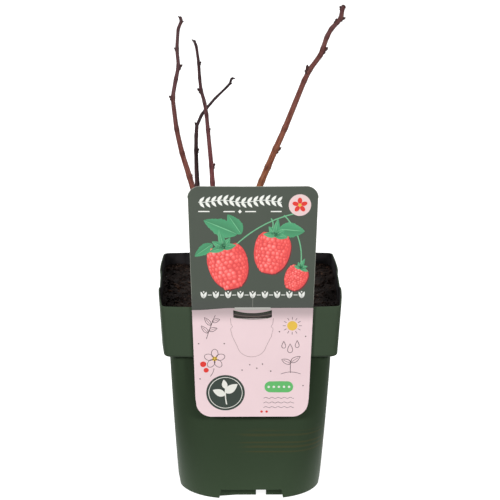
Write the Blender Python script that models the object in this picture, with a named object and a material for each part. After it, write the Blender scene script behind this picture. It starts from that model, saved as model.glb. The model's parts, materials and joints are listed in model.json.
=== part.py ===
"""Four bare raspberry canes in a square nursery pot with a hook-on plant label.

Metres, +Z up. The origin is on the floor under the middle of the pot. The label hangs on the
pot's front wall, towards -Y, and the canes rise behind it, left of the middle (-X).
"""
import math
from math import cos, pi, radians, sin

import bmesh
import bpy
from mathutils import Matrix, Vector

# Clearance left between pieces that touch in the real plant
GAP = 0.0003

# Pot: a square container with round corners, a deep collar and a low foot
POT_HEIGHT = 0.1672
POT_WALL = 0.0013
COLLAR_HEIGHT = 0.0430
COLLAR_CORNER_HALF = 0.07075
COLLAR_CORNER_RADIUS = 0.0050
COLLAR_DRAFT = 0.0026
COLLAR_EDGE_RADIUS = 0.0026
COLLAR_EDGE_ANGLES = (10, 40, 65, 90)
COLLAR_STEP = 0.0002
PILLOW = 0.0021
PANEL_SHARE = 0.36
PANEL_DEPTH = 0.0008
RIM_BREAK = 0.0005
BODY_TOP_HALF = 0.0638
BODY_TOP_CORNER = 0.013
FOOT_HALF = 0.0572
FOOT_CORNER = 0.041
BODY_LEVELS = 7
FOOT_RISE = 0.0085
FLOOR_THICKNESS = 0.0015

# Cut-outs in the foot, one in each side, and the ribs that stand behind them
NOTCH_HEIGHT = 0.0078
NOTCH_TOP_WIDTH = 0.0484
NOTCH_BOTTOM_WIDTH = 0.0520
NOTCH_SHIFT = 0.0010
NOTCH_UNDERCUT = 0.0020
NOTCH_MIDDLE_SHARE = 0.75
RIB_SETBACK = 0.0084
RIB_THICKNESS = 0.0013
RIB_SINK = 0.0006
RIB_LONG = (-0.0105, 0.0050)
RIB_SHORT = (0.0130, 0.0270)
RIB_FORWARD_END = (-0.0260, 0.0024)

# Drainage holes through the pot's floor
DRAIN_RADIUS = 0.0042
DRAIN_CORNER_REACH = 0.0300
DRAIN_SIDE_REACH = 0.0290
DRAIN_SIDES = 10

# Peat, filled to a little below the rim and level where the canes stand. Its swell grows over a
# short run round the level patch, and its waves are in radians per metre along X and Y.
SOIL_LEVEL = 0.1575
SOIL_LEVEL_MIDDLE = (-0.024, 0.002)
SOIL_LEVEL_RADIUS = 0.026
SOIL_SWELL = 0.0012
SOIL_SWELL_RUN = 0.020
SOIL_LONG_WAVE = (95, 120)
SOIL_SHORT_WAVE = (210, 160)
SOIL_RINGS = 4

# Label: one plastic sheet that narrows downwards, folded where it hangs on the collar's edge
LABEL_THICKNESS = 0.0008
LABEL_ABOVE = 0.0980
LABEL_BELOW = 0.0927
LABEL_TOP_WIDTH = 0.1008
LABEL_BOTTOM_WIDTH = 0.0882
LABEL_TOP_RADIUS = 0.0095
LABEL_BOTTOM_RADIUS = 0.0125
LABEL_SHIFT = 0.0012
LABEL_CORNER_STEPS = 6
SLOT_WIDTH = 0.0300
SLOT_DROP = 0.0018
SLOT_HEIGHT = 0.0062
SLOT_LIP = 0.0039
SLOT_SAG = 0.0006
SLOT_STEPS = 5
HOOK_WIDTH = 0.0280
HOOK_LENGTH = 0.0072

# Canes, in millimetres and degrees: the foot on the peat, the radius at foot and tip, the
# internodes upwards as (length, lean to the right, lean to the back), and the buds as
# (internode below the bud, side, length), with side +1 right, -1 left, 2 back, -2 front
MM = 0.001
CANES = {
    "cane_left": {
        "foot": (-26.3, 12.0),
        "radii": (2.95, 1.20),
        "internodes": [
            (50, -12, 2), (43, -15.5, 4), (20, -17.5, 5), (20, -12.4, 3), (26, -6.7, 2),
            (15, 10.5, 4), (10.5, 12, 5), (14, -5.4, 4), (16, 4, 7), (6.5, 24, 8), (4, -16, 0),
        ],
        "buds": [(1, 1, 3.2), (4, -1, 4.0), (6, 1, 4.4), (7, -1, 2.6), (0, 2, 3.6)],
    },
    "cane_dark": {
        "foot": (-34.5, -2.0),
        "radii": (2.60, 1.42),
        "internodes": [(51, -5.4, 0), (38, -4, 1.5), (27.7, -1.8, 2), (12, 0.9, 4), (9.8, 4, 0)],
        "buds": [(2, 1, 3.6), (0, -2, 3.4)],
    },
    "cane_middle": {
        "foot": (-23.2, -6.0),
        "radii": (2.62, 1.04),
        "internodes": [
            (53.5, -4.4, -2), (40, -3.6, -3), (13.5, -3.3, -4), (30, -5.2, -4), (13, -5, -4),
            (10, -8.4, -5), (10.5, -15.8, -5.5), (10, -5.7, -6), (12, -3, -5), (14, -7.5, -4),
            (5.4, -21, -10),
        ],
        "buds": [(2, 1, 4.4), (3, 1, 2.8), (6, -1, 4.2), (8, 1, 3.0), (0, 2, 3.4)],
    },
    "cane_right": {
        "foot": (-14.1, 6.0),
        "radii": (3.10, 1.70),
        "internodes": [
            (53.5, 10.5, -4), (42, 19.3, -5.5), (13, 21.7, -8), (16.5, 21.3, -7), (19, 22.2, -9),
            (43, 20.2, -7.5), (10, 24, -10), (15, 34, -11), (5, 18, -8), (11, 16.5, -9),
            (7.5, 27, -9), (7, 41, -10), (4.5, 36, -10), (7.8, 7, -6), (2.8, 38, 0),
        ],
        "buds": [
            (3, 1, 5.4), (6, -1, 6.2), (8, 1, 5.6), (11, -1, 3.8), (12, 1, 4.8), (13, -1, 3.4),
            (1, 2, 4.6), (5, 2, 4.6),
        ],
    },
}
# The dark cane's side shoot carries on from its bent top
SHOOT = {
    "radii": (1.30, 0.84),
    "internodes": [(7.5, 29.5, 7), (6, 38, 10), (11, 42, 10), (12.5, 47, 9), (4, 42, 12), (3.4, 14, 0),
                   (2.2, 58, 0)],
    "buds": [(4, 1, 2.2)],
}
SHOOT_STEP = 0.0007
BEND_SHARE = 0.35
FLARE = 0.55
FLARE_LENGTH = 6.0
FLARE_STOPS = (0.03, 0.08, 0.16)
NODE_SWELL = 1.12
BUD_WIDTH_SHARE = 0.46
BUD_NARROWING = 0.35
BUD_SPLAY = radians(34)
BUD_SEAT_SHARE = 0.8
BUD_LIFT_SHARE = 0.03

COLOURS = {
    "pot": ((0.040, 0.063, 0.036), 0.42),
    "soil": ((0.012, 0.009, 0.008), 0.95),
    "label": ((0.080, 0.108, 0.074), 0.38),
    "cane_left": ((0.190, 0.055, 0.040), 0.55),
    "cane_dark": ((0.060, 0.022, 0.026), 0.55),
    "cane_middle": ((0.140, 0.045, 0.042), 0.55),
    "cane_right": ((0.240, 0.085, 0.045), 0.55),
    "shoot_dark": ((0.045, 0.020, 0.024), 0.55),
}


def collection(name):
    """A new collection linked to the scene"""
    group = bpy.data.collections.new(name)
    bpy.context.scene.collection.children.link(group)
    return group


def plain_material(name):
    """A Principled material with the sub-part's own colour and roughness"""
    colour, roughness = COLOURS[name]
    material = bpy.data.materials.new(name)
    material.use_nodes = True
    shader = material.node_tree.nodes["Principled BSDF"]
    shader.inputs["Base Color"].default_value = (*colour, 1.0)
    shader.inputs["Roughness"].default_value = roughness
    shader.inputs["Metallic"].default_value = 0.0
    return material


def new_object(name, mesh, group):
    """An object for a mesh, linked to one collection"""
    thing = bpy.data.objects.new(name, mesh)
    group.objects.link(thing)
    return thing


def mesh_from(name, bm):
    """A mesh with its faces turned outwards, from a bmesh that is then freed"""
    bmesh.ops.recalc_face_normals(bm, faces=bm.faces)
    mesh = bpy.data.meshes.new(name)
    bm.to_mesh(mesh)
    bm.free()
    return mesh


def loft(name, rings):
    """A closed solid through rings of equal point counts, capped at both ends"""
    bm = bmesh.new()
    levels = [[bm.verts.new(point) for point in ring] for ring in rings]
    for low, high in zip(levels, levels[1:]):
        for k in range(len(low)):
            after = (k + 1) % len(low)
            bm.faces.new((low[k], low[after], high[after], high[k]))
    bm.faces.new(levels[0])
    bm.faces.new(levels[-1])
    return mesh_from(name, bm)


def prism(name, profile, depth):
    """A flat outline in the XZ plane, given depth along Y to both sides of the plane"""
    curve = bpy.data.curves.new(name, "CURVE")
    curve.dimensions = "2D"
    curve.fill_mode = "BOTH"
    curve.extrude = depth / 2
    for outline in profile:
        spline = curve.splines.new("POLY")
        spline.points.add(len(outline) - 1)
        for point, (x, z) in zip(spline.points, outline):
            point.co = (x, z, 0, 1)
        spline.use_cyclic_u = True
    mesh = mesh_of_curve(name, curve)
    mesh.transform(Matrix.Rotation(radians(90), 4, "X"))
    return mesh


def mesh_of_curve(name, curve):
    """A curve's own solid as a mesh with welded caps"""
    holder = new_object(name, curve, cutters)
    bpy.context.view_layer.update()
    evaluated = holder.evaluated_get(bpy.context.evaluated_depsgraph_get())
    mesh = bpy.data.meshes.new_from_object(evaluated)
    bpy.data.objects.remove(holder)
    bpy.data.curves.remove(curve)
    bm = bmesh.new()
    bm.from_mesh(mesh)
    bmesh.ops.remove_doubles(bm, verts=bm.verts, dist=0.00002)
    bmesh.ops.recalc_face_normals(bm, faces=bm.faces)
    bm.to_mesh(mesh)
    bm.free()
    return mesh


def combine(target, operation, meshes):
    """Join meshes to an object, or cut them out of it, by one applied Boolean on a collection"""
    group = collection(target.name + "_" + operation.lower())
    for index, mesh in enumerate(meshes):
        new_object("{}_{}_{}".format(target.name, operation.lower(), index), mesh, group)
    modifier = target.modifiers.new(operation.lower(), "BOOLEAN")
    modifier.operation = operation
    modifier.operand_type = "COLLECTION"
    modifier.collection = group
    modifier.solver = "EXACT"
    bpy.context.view_layer.update()
    evaluated = target.evaluated_get(bpy.context.evaluated_depsgraph_get())
    joined = bpy.data.meshes.new_from_object(evaluated)
    target.modifiers.remove(modifier)
    target.data = joined
    for tool in list(group.objects):
        bpy.data.objects.remove(tool)
    bpy.data.collections.remove(group)


def finish(thing, crease=40):
    """The sub-part's material and smooth shading between its sharp edges"""
    thing.data.materials.clear()
    thing.data.materials.append(plain_material(thing.name))
    thing.data.shade_smooth()
    thing.data.set_sharp_from_angle(angle=radians(crease))


# Places along one side, from one corner to the next: close together at the middle panel's edges
PANEL_INNER = PANEL_SHARE - 0.06
SIDE_STOPS = [-1, -0.85, -0.67, -0.5, -PANEL_SHARE, -PANEL_INNER, 0,
              PANEL_INNER, PANEL_SHARE, 0.5, 0.67, 0.85, 1]
CORNER_STEPS = 6


def square_ring(half, corner, z, pillow=0.0):
    """One level of the pot: a square with round corners whose sides swell by pillow towards
    their middle, with the flat middle panel sunk back a little"""
    straight = half - corner
    ring = []
    for side in range(4):
        turn = Matrix.Rotation(side * pi / 2, 3, "Z")
        for stop in SIDE_STOPS:
            swell = pillow * sin(pi / 2 * min(1.0, (1 - abs(stop)) / (1 - PANEL_SHARE)))
            if abs(stop) < PANEL_SHARE:
                swell -= PANEL_DEPTH * pillow / PILLOW
            ring.append(turn @ Vector((half + swell, stop * straight, z)))
        for step in range(1, CORNER_STEPS):
            angle = step * pi / 2 / CORNER_STEPS
            ring.append(turn @ Vector((straight + corner * cos(angle),
                                       straight + corner * sin(angle), z)))
    return ring


def body_level(share):
    """Half-width and corner radius of the pot's body, share 0 at the floor to 1 at the collar"""
    share = min(share, 1.0)
    half = FOOT_HALF + (BODY_TOP_HALF - FOOT_HALF) * share ** 0.85
    corner = BODY_TOP_CORNER + (FOOT_CORNER - BODY_TOP_CORNER) * (1 - share) ** 1.4
    return half, corner


COLLAR_BOTTOM = POT_HEIGHT - COLLAR_HEIGHT


def body_rings(inset, lowest, highest):
    """The body's levels from one height to another, moved inwards by inset"""
    rings = []
    for step in range(BODY_LEVELS):
        z = lowest + (highest - lowest) * step / (BODY_LEVELS - 1)
        half, corner = body_level(z / COLLAR_BOTTOM)
        rings.append(square_ring(half - inset, corner - inset, z))
    return rings


def collar_ring(inset, z):
    """One level of the collar, which widens upwards by its draft"""
    share = (z - COLLAR_BOTTOM) / COLLAR_HEIGHT
    half = COLLAR_CORNER_HALF - COLLAR_DRAFT * (1 - share) - inset
    return square_ring(half, COLLAR_CORNER_RADIUS - 0.5 * inset, z, PILLOW)


def pot():
    """A one-piece moulded pot: foot ring, floor, body, collar and rim, open at the top"""
    rings = [square_ring(FOOT_HALF - POT_WALL, FOOT_CORNER - POT_WALL, FOOT_RISE)]
    rings.append(square_ring(FOOT_HALF - POT_WALL, FOOT_CORNER - POT_WALL, 0))
    rings += body_rings(0.0, 0.0, COLLAR_BOTTOM - COLLAR_STEP)
    for angle in COLLAR_EDGE_ANGLES:
        lift = COLLAR_EDGE_RADIUS * (1 - cos(radians(angle)))
        inset = COLLAR_EDGE_RADIUS * (1 - sin(radians(angle)))
        rings.append(collar_ring(inset, COLLAR_BOTTOM + lift))
    rings.append(collar_ring(0.0, POT_HEIGHT - RIM_BREAK))
    rings.append(collar_ring(RIM_BREAK, POT_HEIGHT))
    rings.append(collar_ring(POT_WALL, POT_HEIGHT))
    rings.append(collar_ring(POT_WALL, COLLAR_BOTTOM + COLLAR_EDGE_RADIUS + POT_WALL))
    rings.append(collar_ring(POT_WALL + COLLAR_EDGE_RADIUS, COLLAR_BOTTOM + POT_WALL))
    rings += reversed(body_rings(POT_WALL, FOOT_RISE + FLOOR_THICKNESS, COLLAR_BOTTOM))
    shell = new_object("pot", loft("pot", rings), model)
    combine(shell, "DIFFERENCE", foot_cuts() + drain_cuts())
    combine(shell, "UNION", foot_ribs())
    finish(shell, 30)


def foot_cuts():
    """Four wedges that open the foot, one in the middle of each side"""
    half_top, half_bottom = NOTCH_TOP_WIDTH / 2, NOTCH_BOTTOM_WIDTH / 2
    outline = [(-half_bottom, -NOTCH_UNDERCUT), (half_bottom, -NOTCH_UNDERCUT),
               (half_top, NOTCH_HEIGHT), (-half_top, NOTCH_HEIGHT)]
    cuts = []
    for side in range(4):
        wedge = prism("notch", [outline], FOOT_HALF)
        wedge.transform(Matrix.Rotation(side * pi / 2, 4, "Z")
                        @ Matrix.Translation((NOTCH_SHIFT, -FOOT_HALF * NOTCH_MIDDLE_SHARE, 0)))
        cuts.append(wedge)
    return cuts


def drain_cuts():
    """Round drainage holes, one near each corner and one behind each side"""
    cuts = []
    for index in range(8):
        reach = DRAIN_CORNER_REACH * math.sqrt(2) if index % 2 else DRAIN_SIDE_REACH
        angle = index * pi / 4
        bm = bmesh.new()
        bmesh.ops.create_cone(bm, cap_ends=True, segments=DRAIN_SIDES, radius1=DRAIN_RADIUS,
                              radius2=DRAIN_RADIUS, depth=4 * FLOOR_THICKNESS)
        place = Vector((reach * cos(angle), reach * sin(angle), FOOT_RISE + FLOOR_THICKNESS / 2))
        bmesh.ops.translate(bm, verts=bm.verts, vec=place)
        cuts.append(mesh_from("drain", bm))
    return cuts


def rib(start, end):
    """An upright strip between two places, from the ground to a little inside the pot's floor"""
    run = Vector(end) - Vector(start)
    bm = bmesh.new()
    bmesh.ops.create_cube(bm, size=1.0)
    bmesh.ops.scale(bm, verts=bm.verts, vec=(run.length, RIB_THICKNESS, FOOT_RISE + RIB_SINK))
    bmesh.ops.rotate(bm, verts=bm.verts, matrix=Matrix.Rotation(math.atan2(run.y, run.x), 3, "Z"))
    middle = (Vector(start) + Vector(end)) / 2
    bmesh.ops.translate(bm, verts=bm.verts,
                        vec=(middle.x, middle.y, (FOOT_RISE + RIB_SINK) / 2))
    return mesh_from("rib", bm)


def foot_ribs():
    """Ribs set back behind each cut-out: a cranked one on the left and a short one on the right"""
    front = -(FOOT_HALF - RIB_SETBACK)
    crank = (RIB_LONG[0], front)
    runs = [((RIB_LONG[0] - RIB_THICKNESS / 4, front), (RIB_LONG[1], front)),
            (crank, (RIB_FORWARD_END[0], front - RIB_FORWARD_END[1])),
            ((RIB_SHORT[0], front), (RIB_SHORT[1], front))]
    ribs = []
    for side in range(4):
        for start, end in runs:
            strip = rib(start, end)
            strip.transform(Matrix.Rotation(side * pi / 2, 4, "Z"))
            ribs.append(strip)
    return ribs


def soil_height(x, y):
    """The peat's surface: level round the canes, gently uneven towards the walls"""
    away = math.hypot(x - SOIL_LEVEL_MIDDLE[0], y - SOIL_LEVEL_MIDDLE[1])
    rough = min(1.0, max(0.0, (away - SOIL_LEVEL_RADIUS) / SOIL_SWELL_RUN))
    long_wave = sin(SOIL_LONG_WAVE[0] * x + 1.3) * cos(SOIL_LONG_WAVE[1] * y - 0.6)
    short_wave = sin(SOIL_SHORT_WAVE[0] * x - SOIL_SHORT_WAVE[1] * y)
    return SOIL_LEVEL + SOIL_SWELL * rough * (2 * long_wave + short_wave) / 3


def soil():
    """The peat as one solid that fills the pot from its floor, a hair clear of the walls"""
    inset = POT_WALL + GAP
    step = COLLAR_BOTTOM + POT_WALL + GAP
    rings = body_rings(inset, FOOT_RISE + FLOOR_THICKNESS + GAP, step)
    rings.append(collar_ring(inset + COLLAR_EDGE_RADIUS, step))
    rings.append(collar_ring(inset, step + COLLAR_EDGE_RADIUS))
    edge = collar_ring(inset, SOIL_LEVEL)
    for ring in range(SOIL_RINGS):
        share = 1 - ring / SOIL_RINGS
        points = [(point.x * share, point.y * share) for point in edge]
        rings.append([Vector((x, y, soil_height(x, y))) for x, y in points])
    fill = new_object("soil", loft("soil", rings), model)
    finish(fill)


def label_outline():
    """The sheet's outline in its own plane: across, and up from the fold"""
    def half_width(up):
        share = (up + LABEL_BELOW) / (LABEL_ABOVE + LABEL_BELOW)
        return (LABEL_BOTTOM_WIDTH + (LABEL_TOP_WIDTH - LABEL_BOTTOM_WIDTH) * share) / 2

    corners = [(half_width(-LABEL_BELOW), -LABEL_BELOW, LABEL_BOTTOM_RADIUS, -90),
               (half_width(LABEL_ABOVE), LABEL_ABOVE, LABEL_TOP_RADIUS, 0),
               (-half_width(LABEL_ABOVE), LABEL_ABOVE, LABEL_TOP_RADIUS, 90),
               (-half_width(-LABEL_BELOW), -LABEL_BELOW, LABEL_BOTTOM_RADIUS, 180)]
    outline = []
    for across, up, radius, first in corners:
        centre = (across - math.copysign(radius, across), up - math.copysign(radius, up))
        for step in range(LABEL_CORNER_STEPS + 1):
            angle = radians(first + 90 * step / LABEL_CORNER_STEPS)
            outline.append((centre[0] + radius * cos(angle), centre[1] + radius * sin(angle)))
    return outline


def slot_outline():
    """A slot just under the fold, half covered from above by a bowed lip"""
    stops = [index / SLOT_STEPS for index in range(-SLOT_STEPS, SLOT_STEPS + 1)]
    half = SLOT_WIDTH / 2
    foot = SLOT_DROP + SLOT_HEIGHT
    lower = [(half * s, -foot - SLOT_SAG * (1 - s * s)) for s in stops]
    upper = [(half * s, -SLOT_DROP - SLOT_LIP * (1 - s * s)) for s in reversed(stops)]
    return lower + upper


def label():
    """The label's sheet, folded along the rim, with a tab behind it that hooks over the wall"""
    draft = math.atan2(COLLAR_DRAFT, COLLAR_HEIGHT)
    back = -(COLLAR_CORNER_HALF + PILLOW + GAP)
    mesh = prism("label", [label_outline(), slot_outline()], LABEL_THICKNESS)
    bm = bmesh.new()
    bm.from_mesh(mesh)
    bmesh.ops.bisect_plane(bm, geom=bm.verts[:] + bm.edges[:] + bm.faces[:], dist=1e-6,
                           plane_co=(0, 0, 0), plane_no=(0, 0, 1))
    below = [vert for vert in bm.verts if vert.co.z < -1e-6]
    bmesh.ops.rotate(bm, verts=below, cent=(0, 0, 0), matrix=Matrix.Rotation(draft, 3, "X"))
    bmesh.ops.translate(bm, verts=bm.verts,
                        vec=(LABEL_SHIFT, back - LABEL_THICKNESS / 2, POT_HEIGHT))
    sheet = new_object("label", mesh_from("label", bm), model)
    combine(sheet, "UNION", [label_hook(back)])
    finish(sheet)


def label_hook(back):
    """A strip from the sheet's back over the rim and down inside the drafted wall"""
    inner_wall = -(COLLAR_CORNER_HALF + PILLOW - PANEL_DEPTH - POT_WALL) + GAP
    foot_wall = inner_wall + COLLAR_DRAFT * HOOK_LENGTH / COLLAR_HEIGHT
    foot = POT_HEIGHT - HOOK_LENGTH
    under = POT_HEIGHT + GAP
    over = under + LABEL_THICKNESS
    front = back - LABEL_THICKNESS / 2
    profile = [(front, under), (inner_wall, under), (foot_wall, foot),
               (foot_wall + LABEL_THICKNESS, foot), (inner_wall + LABEL_THICKNESS, over),
               (front, over)]
    strip = prism("hook", [profile], HOOK_WIDTH)
    strip.transform(Matrix.Translation((LABEL_SHIFT, 0, 0)) @ Matrix.Rotation(pi / 2, 4, "Z"))
    return strip


def lean_direction(right, away):
    """A unit vector upwards, leaned to the right and to the back by two angles in degrees"""
    level = sin(radians(right)) * cos(radians(away))
    return Vector((level, sin(radians(away)), cos(radians(right)) * cos(radians(away))))


def cane_nodes(start, internodes):
    """The nodes along a cane, from its start through each internode"""
    nodes = [Vector(start)]
    for length, right, away in internodes:
        nodes.append(nodes[-1] + lean_direction(right, away) * length * MM)
    return nodes


def rounded_route(nodes):
    """The route through the nodes with each bend eased by a short quadratic arc, as points and
    whether each is a node's middle"""
    route = [(nodes[0], False)]
    for before, node, after in zip(nodes, nodes[1:], nodes[2:]):
        ease = BEND_SHARE * min((node - before).length, (after - node).length)
        enter = node + (before - node).normalized() * ease
        leave = node + (after - node).normalized() * ease
        route += [(enter, False), ((enter + 2 * node + leave) / 4, True), (leave, False)]
    return route + [(nodes[-1], False)]


def cane_mesh(name, nodes, radii, flared):
    """A round stem that tapers from foot to tip, flared where it stands on the peat"""
    route = rounded_route(nodes)
    if flared:
        low = [(nodes[0].lerp(nodes[1], share), False) for share in FLARE_STOPS]
        route = route[:1] + low + route[1:]
    lengths = [0.0]
    for (before, _), (after, _) in zip(route, route[1:]):
        lengths.append(lengths[-1] + (after - before).length / MM)
    curve = bpy.data.curves.new(name, "CURVE")
    curve.dimensions = "3D"
    curve.bevel_depth = MM
    curve.bevel_resolution = 2
    curve.use_fill_caps = True
    spline = curve.splines.new("POLY")
    spline.points.add(len(route) - 1)
    for point, (place, swollen), along in zip(spline.points, route, lengths):
        radius = radii[0] + (radii[1] - radii[0]) * along / lengths[-1]
        if swollen:
            radius *= NODE_SWELL
        if flared:
            radius *= 1 + FLARE * math.exp(-along / FLARE_LENGTH)
        point.co = (*place, 1)
        point.radius = radius
    mesh = mesh_of_curve(name, curve)
    if flared:
        for vert in mesh.vertices:
            vert.co.z = max(vert.co.z, nodes[0].z)
    return mesh


def bud_mesh(node, stem, side, length, stem_radius):
    """A pointed bud that leaves its node at a narrow angle, with its root sunk in the stem"""
    out = Vector((side, 0, 0)) if abs(side) == 1 else Vector((0, side / 2, 0))
    out = (out - stem * out.dot(stem)).normalized()
    axis = (stem * cos(BUD_SPLAY) + out * sin(BUD_SPLAY)).normalized()
    width = BUD_WIDTH_SHARE * length * MM
    bm = bmesh.new()
    bmesh.ops.create_uvsphere(bm, u_segments=6, v_segments=5, radius=0.5)
    for vert in bm.verts:
        narrow = 1 - BUD_NARROWING * max(0.0, vert.co.z)
        vert.co = Vector((vert.co.x * width * narrow, vert.co.y * width * narrow,
                          vert.co.z * length * MM))
    bm.transform(axis.to_track_quat("Z", "Y").to_matrix().to_4x4())
    root = node + (out * stem_radius * BUD_SEAT_SHARE + axis * length * BUD_LIFT_SHARE) * MM
    bmesh.ops.translate(bm, verts=bm.verts, vec=root)
    return mesh_from("bud", bm)


def cane(name, start, spec, flared):
    """One cane with its buds fused on; returns where it ends and which way it points there"""
    nodes = cane_nodes(start, spec["internodes"])
    stem = new_object(name, cane_mesh(name, nodes, spec["radii"], flared), model)
    total = sum(internode[0] for internode in spec["internodes"])
    buds = []
    for index, side, length in spec["buds"]:
        along = sum(internode[0] for internode in spec["internodes"][:index + 1])
        radius = spec["radii"][0] + (spec["radii"][1] - spec["radii"][0]) * along / total
        upward = (nodes[index + 1] - nodes[index]).normalized()
        buds.append(bud_mesh(nodes[index + 1], upward, side, length, radius))
    combine(stem, "UNION", buds)
    finish(stem, 60)
    return nodes[-1], (nodes[-1] - nodes[-2]).normalized()


def canes():
    """The four canes on the peat, and the shoot that goes on from the dark one's bent top"""
    tops = {}
    for name, spec in CANES.items():
        foot = (spec["foot"][0] * MM, spec["foot"][1] * MM, SOIL_LEVEL + GAP)
        tops[name] = cane(name, foot, spec, True)
    top, upward = tops["cane_dark"]
    cane("shoot_dark", top + upward * SHOOT_STEP, SHOOT, False)


for old in list(bpy.data.objects):
    bpy.data.objects.remove(old)
model = collection("potted_raspberry_canes")
cutters = collection("cutters")
pot()
soil()
label()
canes()
bpy.data.collections.remove(cutters)
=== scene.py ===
"""The looks of four bare raspberry canes in a square nursery pot with a hook-on plant label."""
import json
import math
import random
from math import cos, exp, pi, radians, sin

import bmesh
import bpy
from mathutils import Matrix, Vector, noise

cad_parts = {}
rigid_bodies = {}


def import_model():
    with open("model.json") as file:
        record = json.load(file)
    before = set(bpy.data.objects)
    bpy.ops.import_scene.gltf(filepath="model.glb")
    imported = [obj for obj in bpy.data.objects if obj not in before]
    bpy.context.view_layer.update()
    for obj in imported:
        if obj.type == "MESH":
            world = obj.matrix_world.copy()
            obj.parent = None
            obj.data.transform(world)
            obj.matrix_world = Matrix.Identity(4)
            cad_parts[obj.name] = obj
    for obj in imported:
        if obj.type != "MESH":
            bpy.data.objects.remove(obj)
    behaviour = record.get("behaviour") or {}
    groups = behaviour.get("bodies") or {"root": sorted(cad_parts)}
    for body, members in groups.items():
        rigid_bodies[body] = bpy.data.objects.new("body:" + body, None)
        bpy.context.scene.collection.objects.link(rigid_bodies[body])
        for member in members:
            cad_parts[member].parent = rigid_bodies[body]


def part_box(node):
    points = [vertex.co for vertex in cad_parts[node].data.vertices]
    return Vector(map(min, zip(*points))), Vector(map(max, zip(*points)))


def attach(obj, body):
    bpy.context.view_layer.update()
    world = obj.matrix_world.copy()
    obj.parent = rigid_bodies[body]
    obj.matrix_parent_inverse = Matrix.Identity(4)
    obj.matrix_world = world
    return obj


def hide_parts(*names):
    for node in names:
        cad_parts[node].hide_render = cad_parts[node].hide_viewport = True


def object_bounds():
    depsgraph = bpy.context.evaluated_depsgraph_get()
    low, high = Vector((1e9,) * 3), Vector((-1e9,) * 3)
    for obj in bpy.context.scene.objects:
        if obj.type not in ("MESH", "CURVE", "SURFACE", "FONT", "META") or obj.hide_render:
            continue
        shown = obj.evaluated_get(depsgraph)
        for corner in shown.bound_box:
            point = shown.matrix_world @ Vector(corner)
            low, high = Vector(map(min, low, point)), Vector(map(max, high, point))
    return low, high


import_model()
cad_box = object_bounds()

# The pot: a square nursery container, injection moulded in one piece of dark green plastic that
# is satin outside and near-black inside. Its deep collar gives the rim its strength,
# and its foot is cut out on all four sides so that water runs off.
POT_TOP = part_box("pot")[1].z
PILLOW = 0.0021
COLLAR_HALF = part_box("pot")[1].x - PILLOW
COLLAR_HEIGHT = 0.0430
COLLAR_BOTTOM = POT_TOP - COLLAR_HEIGHT
COLLAR_CORNER = 0.0050
COLLAR_DRAFT = 0.0026
COLLAR_EDGE = 0.0026
PANEL_OUTER = 0.36
PANEL_INNER = 0.30
PANEL_DEPTH = 0.0008
WALL = 0.0013
RIM_ROUND = 0.0005
BODY_TOP_HALF = 0.0638
BODY_TOP_CORNER = 0.013
FOOT_HALF = 0.0572
FOOT_CORNER = 0.041
FOOT_ROUND = 0.0003
FOOT_RISE = 0.0085
FLOOR = 0.0015
BODY_SPREAD = 0.85
CORNER_FADE = 1.4
BODY_ROWS = 26
COLLAR_ROWS = 8
LINING_ROWS = 5
NOTCH_HEIGHT = 0.0078
NOTCH_WIDTHS = (0.0520, 0.0484)
NOTCH_SHIFT = 0.0010
NOTCH_REACH = 0.75
CUT_BELOW = 0.002
RIB_FRONT = -0.0488
RIB_THICKNESS = 0.0013
RIB_RUNS = [((-0.0108, RIB_FRONT), (0.0050, RIB_FRONT)),
            ((-0.0105, RIB_FRONT), (-0.0260, RIB_FRONT - 0.0024)),
            ((0.0130, RIB_FRONT), (0.0270, RIB_FRONT))]
DRAIN_RADIUS = 0.0042
DRAIN_REACH = (0.0290, 0.0424)
DRAIN_SIDES = 24
CORNER_STEPS = 12
SHARP_ANGLE = radians(38)


def smooth(value):
    """Eases a share from 0 to 1, level at both ends"""
    value = min(1.0, max(0.0, value))
    return value * value * (3 - 2 * value)


def side_stops():
    """Places along one side of the pot, -1 to 1, close together where its panel steps back"""
    outer = [1 - (1 - PANEL_OUTER) * k / 10 for k in range(10)]
    step = [PANEL_OUTER - (PANEL_OUTER - PANEL_INNER) * k / 4 for k in range(5)]
    inner = [PANEL_INNER * (1 - k / 4) for k in range(1, 4)]
    half = outer + step + inner
    return [-stop for stop in half] + [0.0] + half[::-1]


def square_ring(half, corner, z, pillow=0.0):
    """One level of the pot: a square with round corners, its sides swelled by pillow between
    the corners and sunk back a little over the middle panel"""
    straight = half - corner
    ring = []
    for side in range(4):
        turn = Matrix.Rotation(side * pi / 2, 3, "Z")
        for stop in side_stops():
            swell = pillow * sin(pi / 2 * min(1.0, (1 - abs(stop)) / (1 - PANEL_OUTER)))
            sunk = smooth((PANEL_OUTER - abs(stop)) / (PANEL_OUTER - PANEL_INNER))
            swell -= PANEL_DEPTH * sunk * pillow / PILLOW
            ring.append(turn @ Vector((half + swell, stop * straight, z)))
        for step in range(1, CORNER_STEPS):
            angle = step * pi / 2 / CORNER_STEPS
            ring.append(turn @ Vector((straight + corner * cos(angle),
                                       straight + corner * sin(angle), z)))
    return ring


def body_ring(inset, z):
    """A level of the body, whose corners tighten and whose sides spread from foot to collar"""
    share = min(1.0, z / COLLAR_BOTTOM)
    half = FOOT_HALF + (BODY_TOP_HALF - FOOT_HALF) * share ** BODY_SPREAD
    corner = BODY_TOP_CORNER + (FOOT_CORNER - BODY_TOP_CORNER) * (1 - share) ** CORNER_FADE
    return square_ring(half - inset, corner - inset, z)


def collar_ring(inset, z):
    """A level of the collar, which widens upwards by its draft"""
    half = COLLAR_HALF - COLLAR_DRAFT * (POT_TOP - z) / COLLAR_HEIGHT - inset
    return square_ring(half, COLLAR_CORNER - 0.5 * inset, z, PILLOW)


def levels(low, high, count):
    """Evenly spaced values, both ends included"""
    return [low + (high - low) * k / (count - 1) for k in range(count)]


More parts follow.
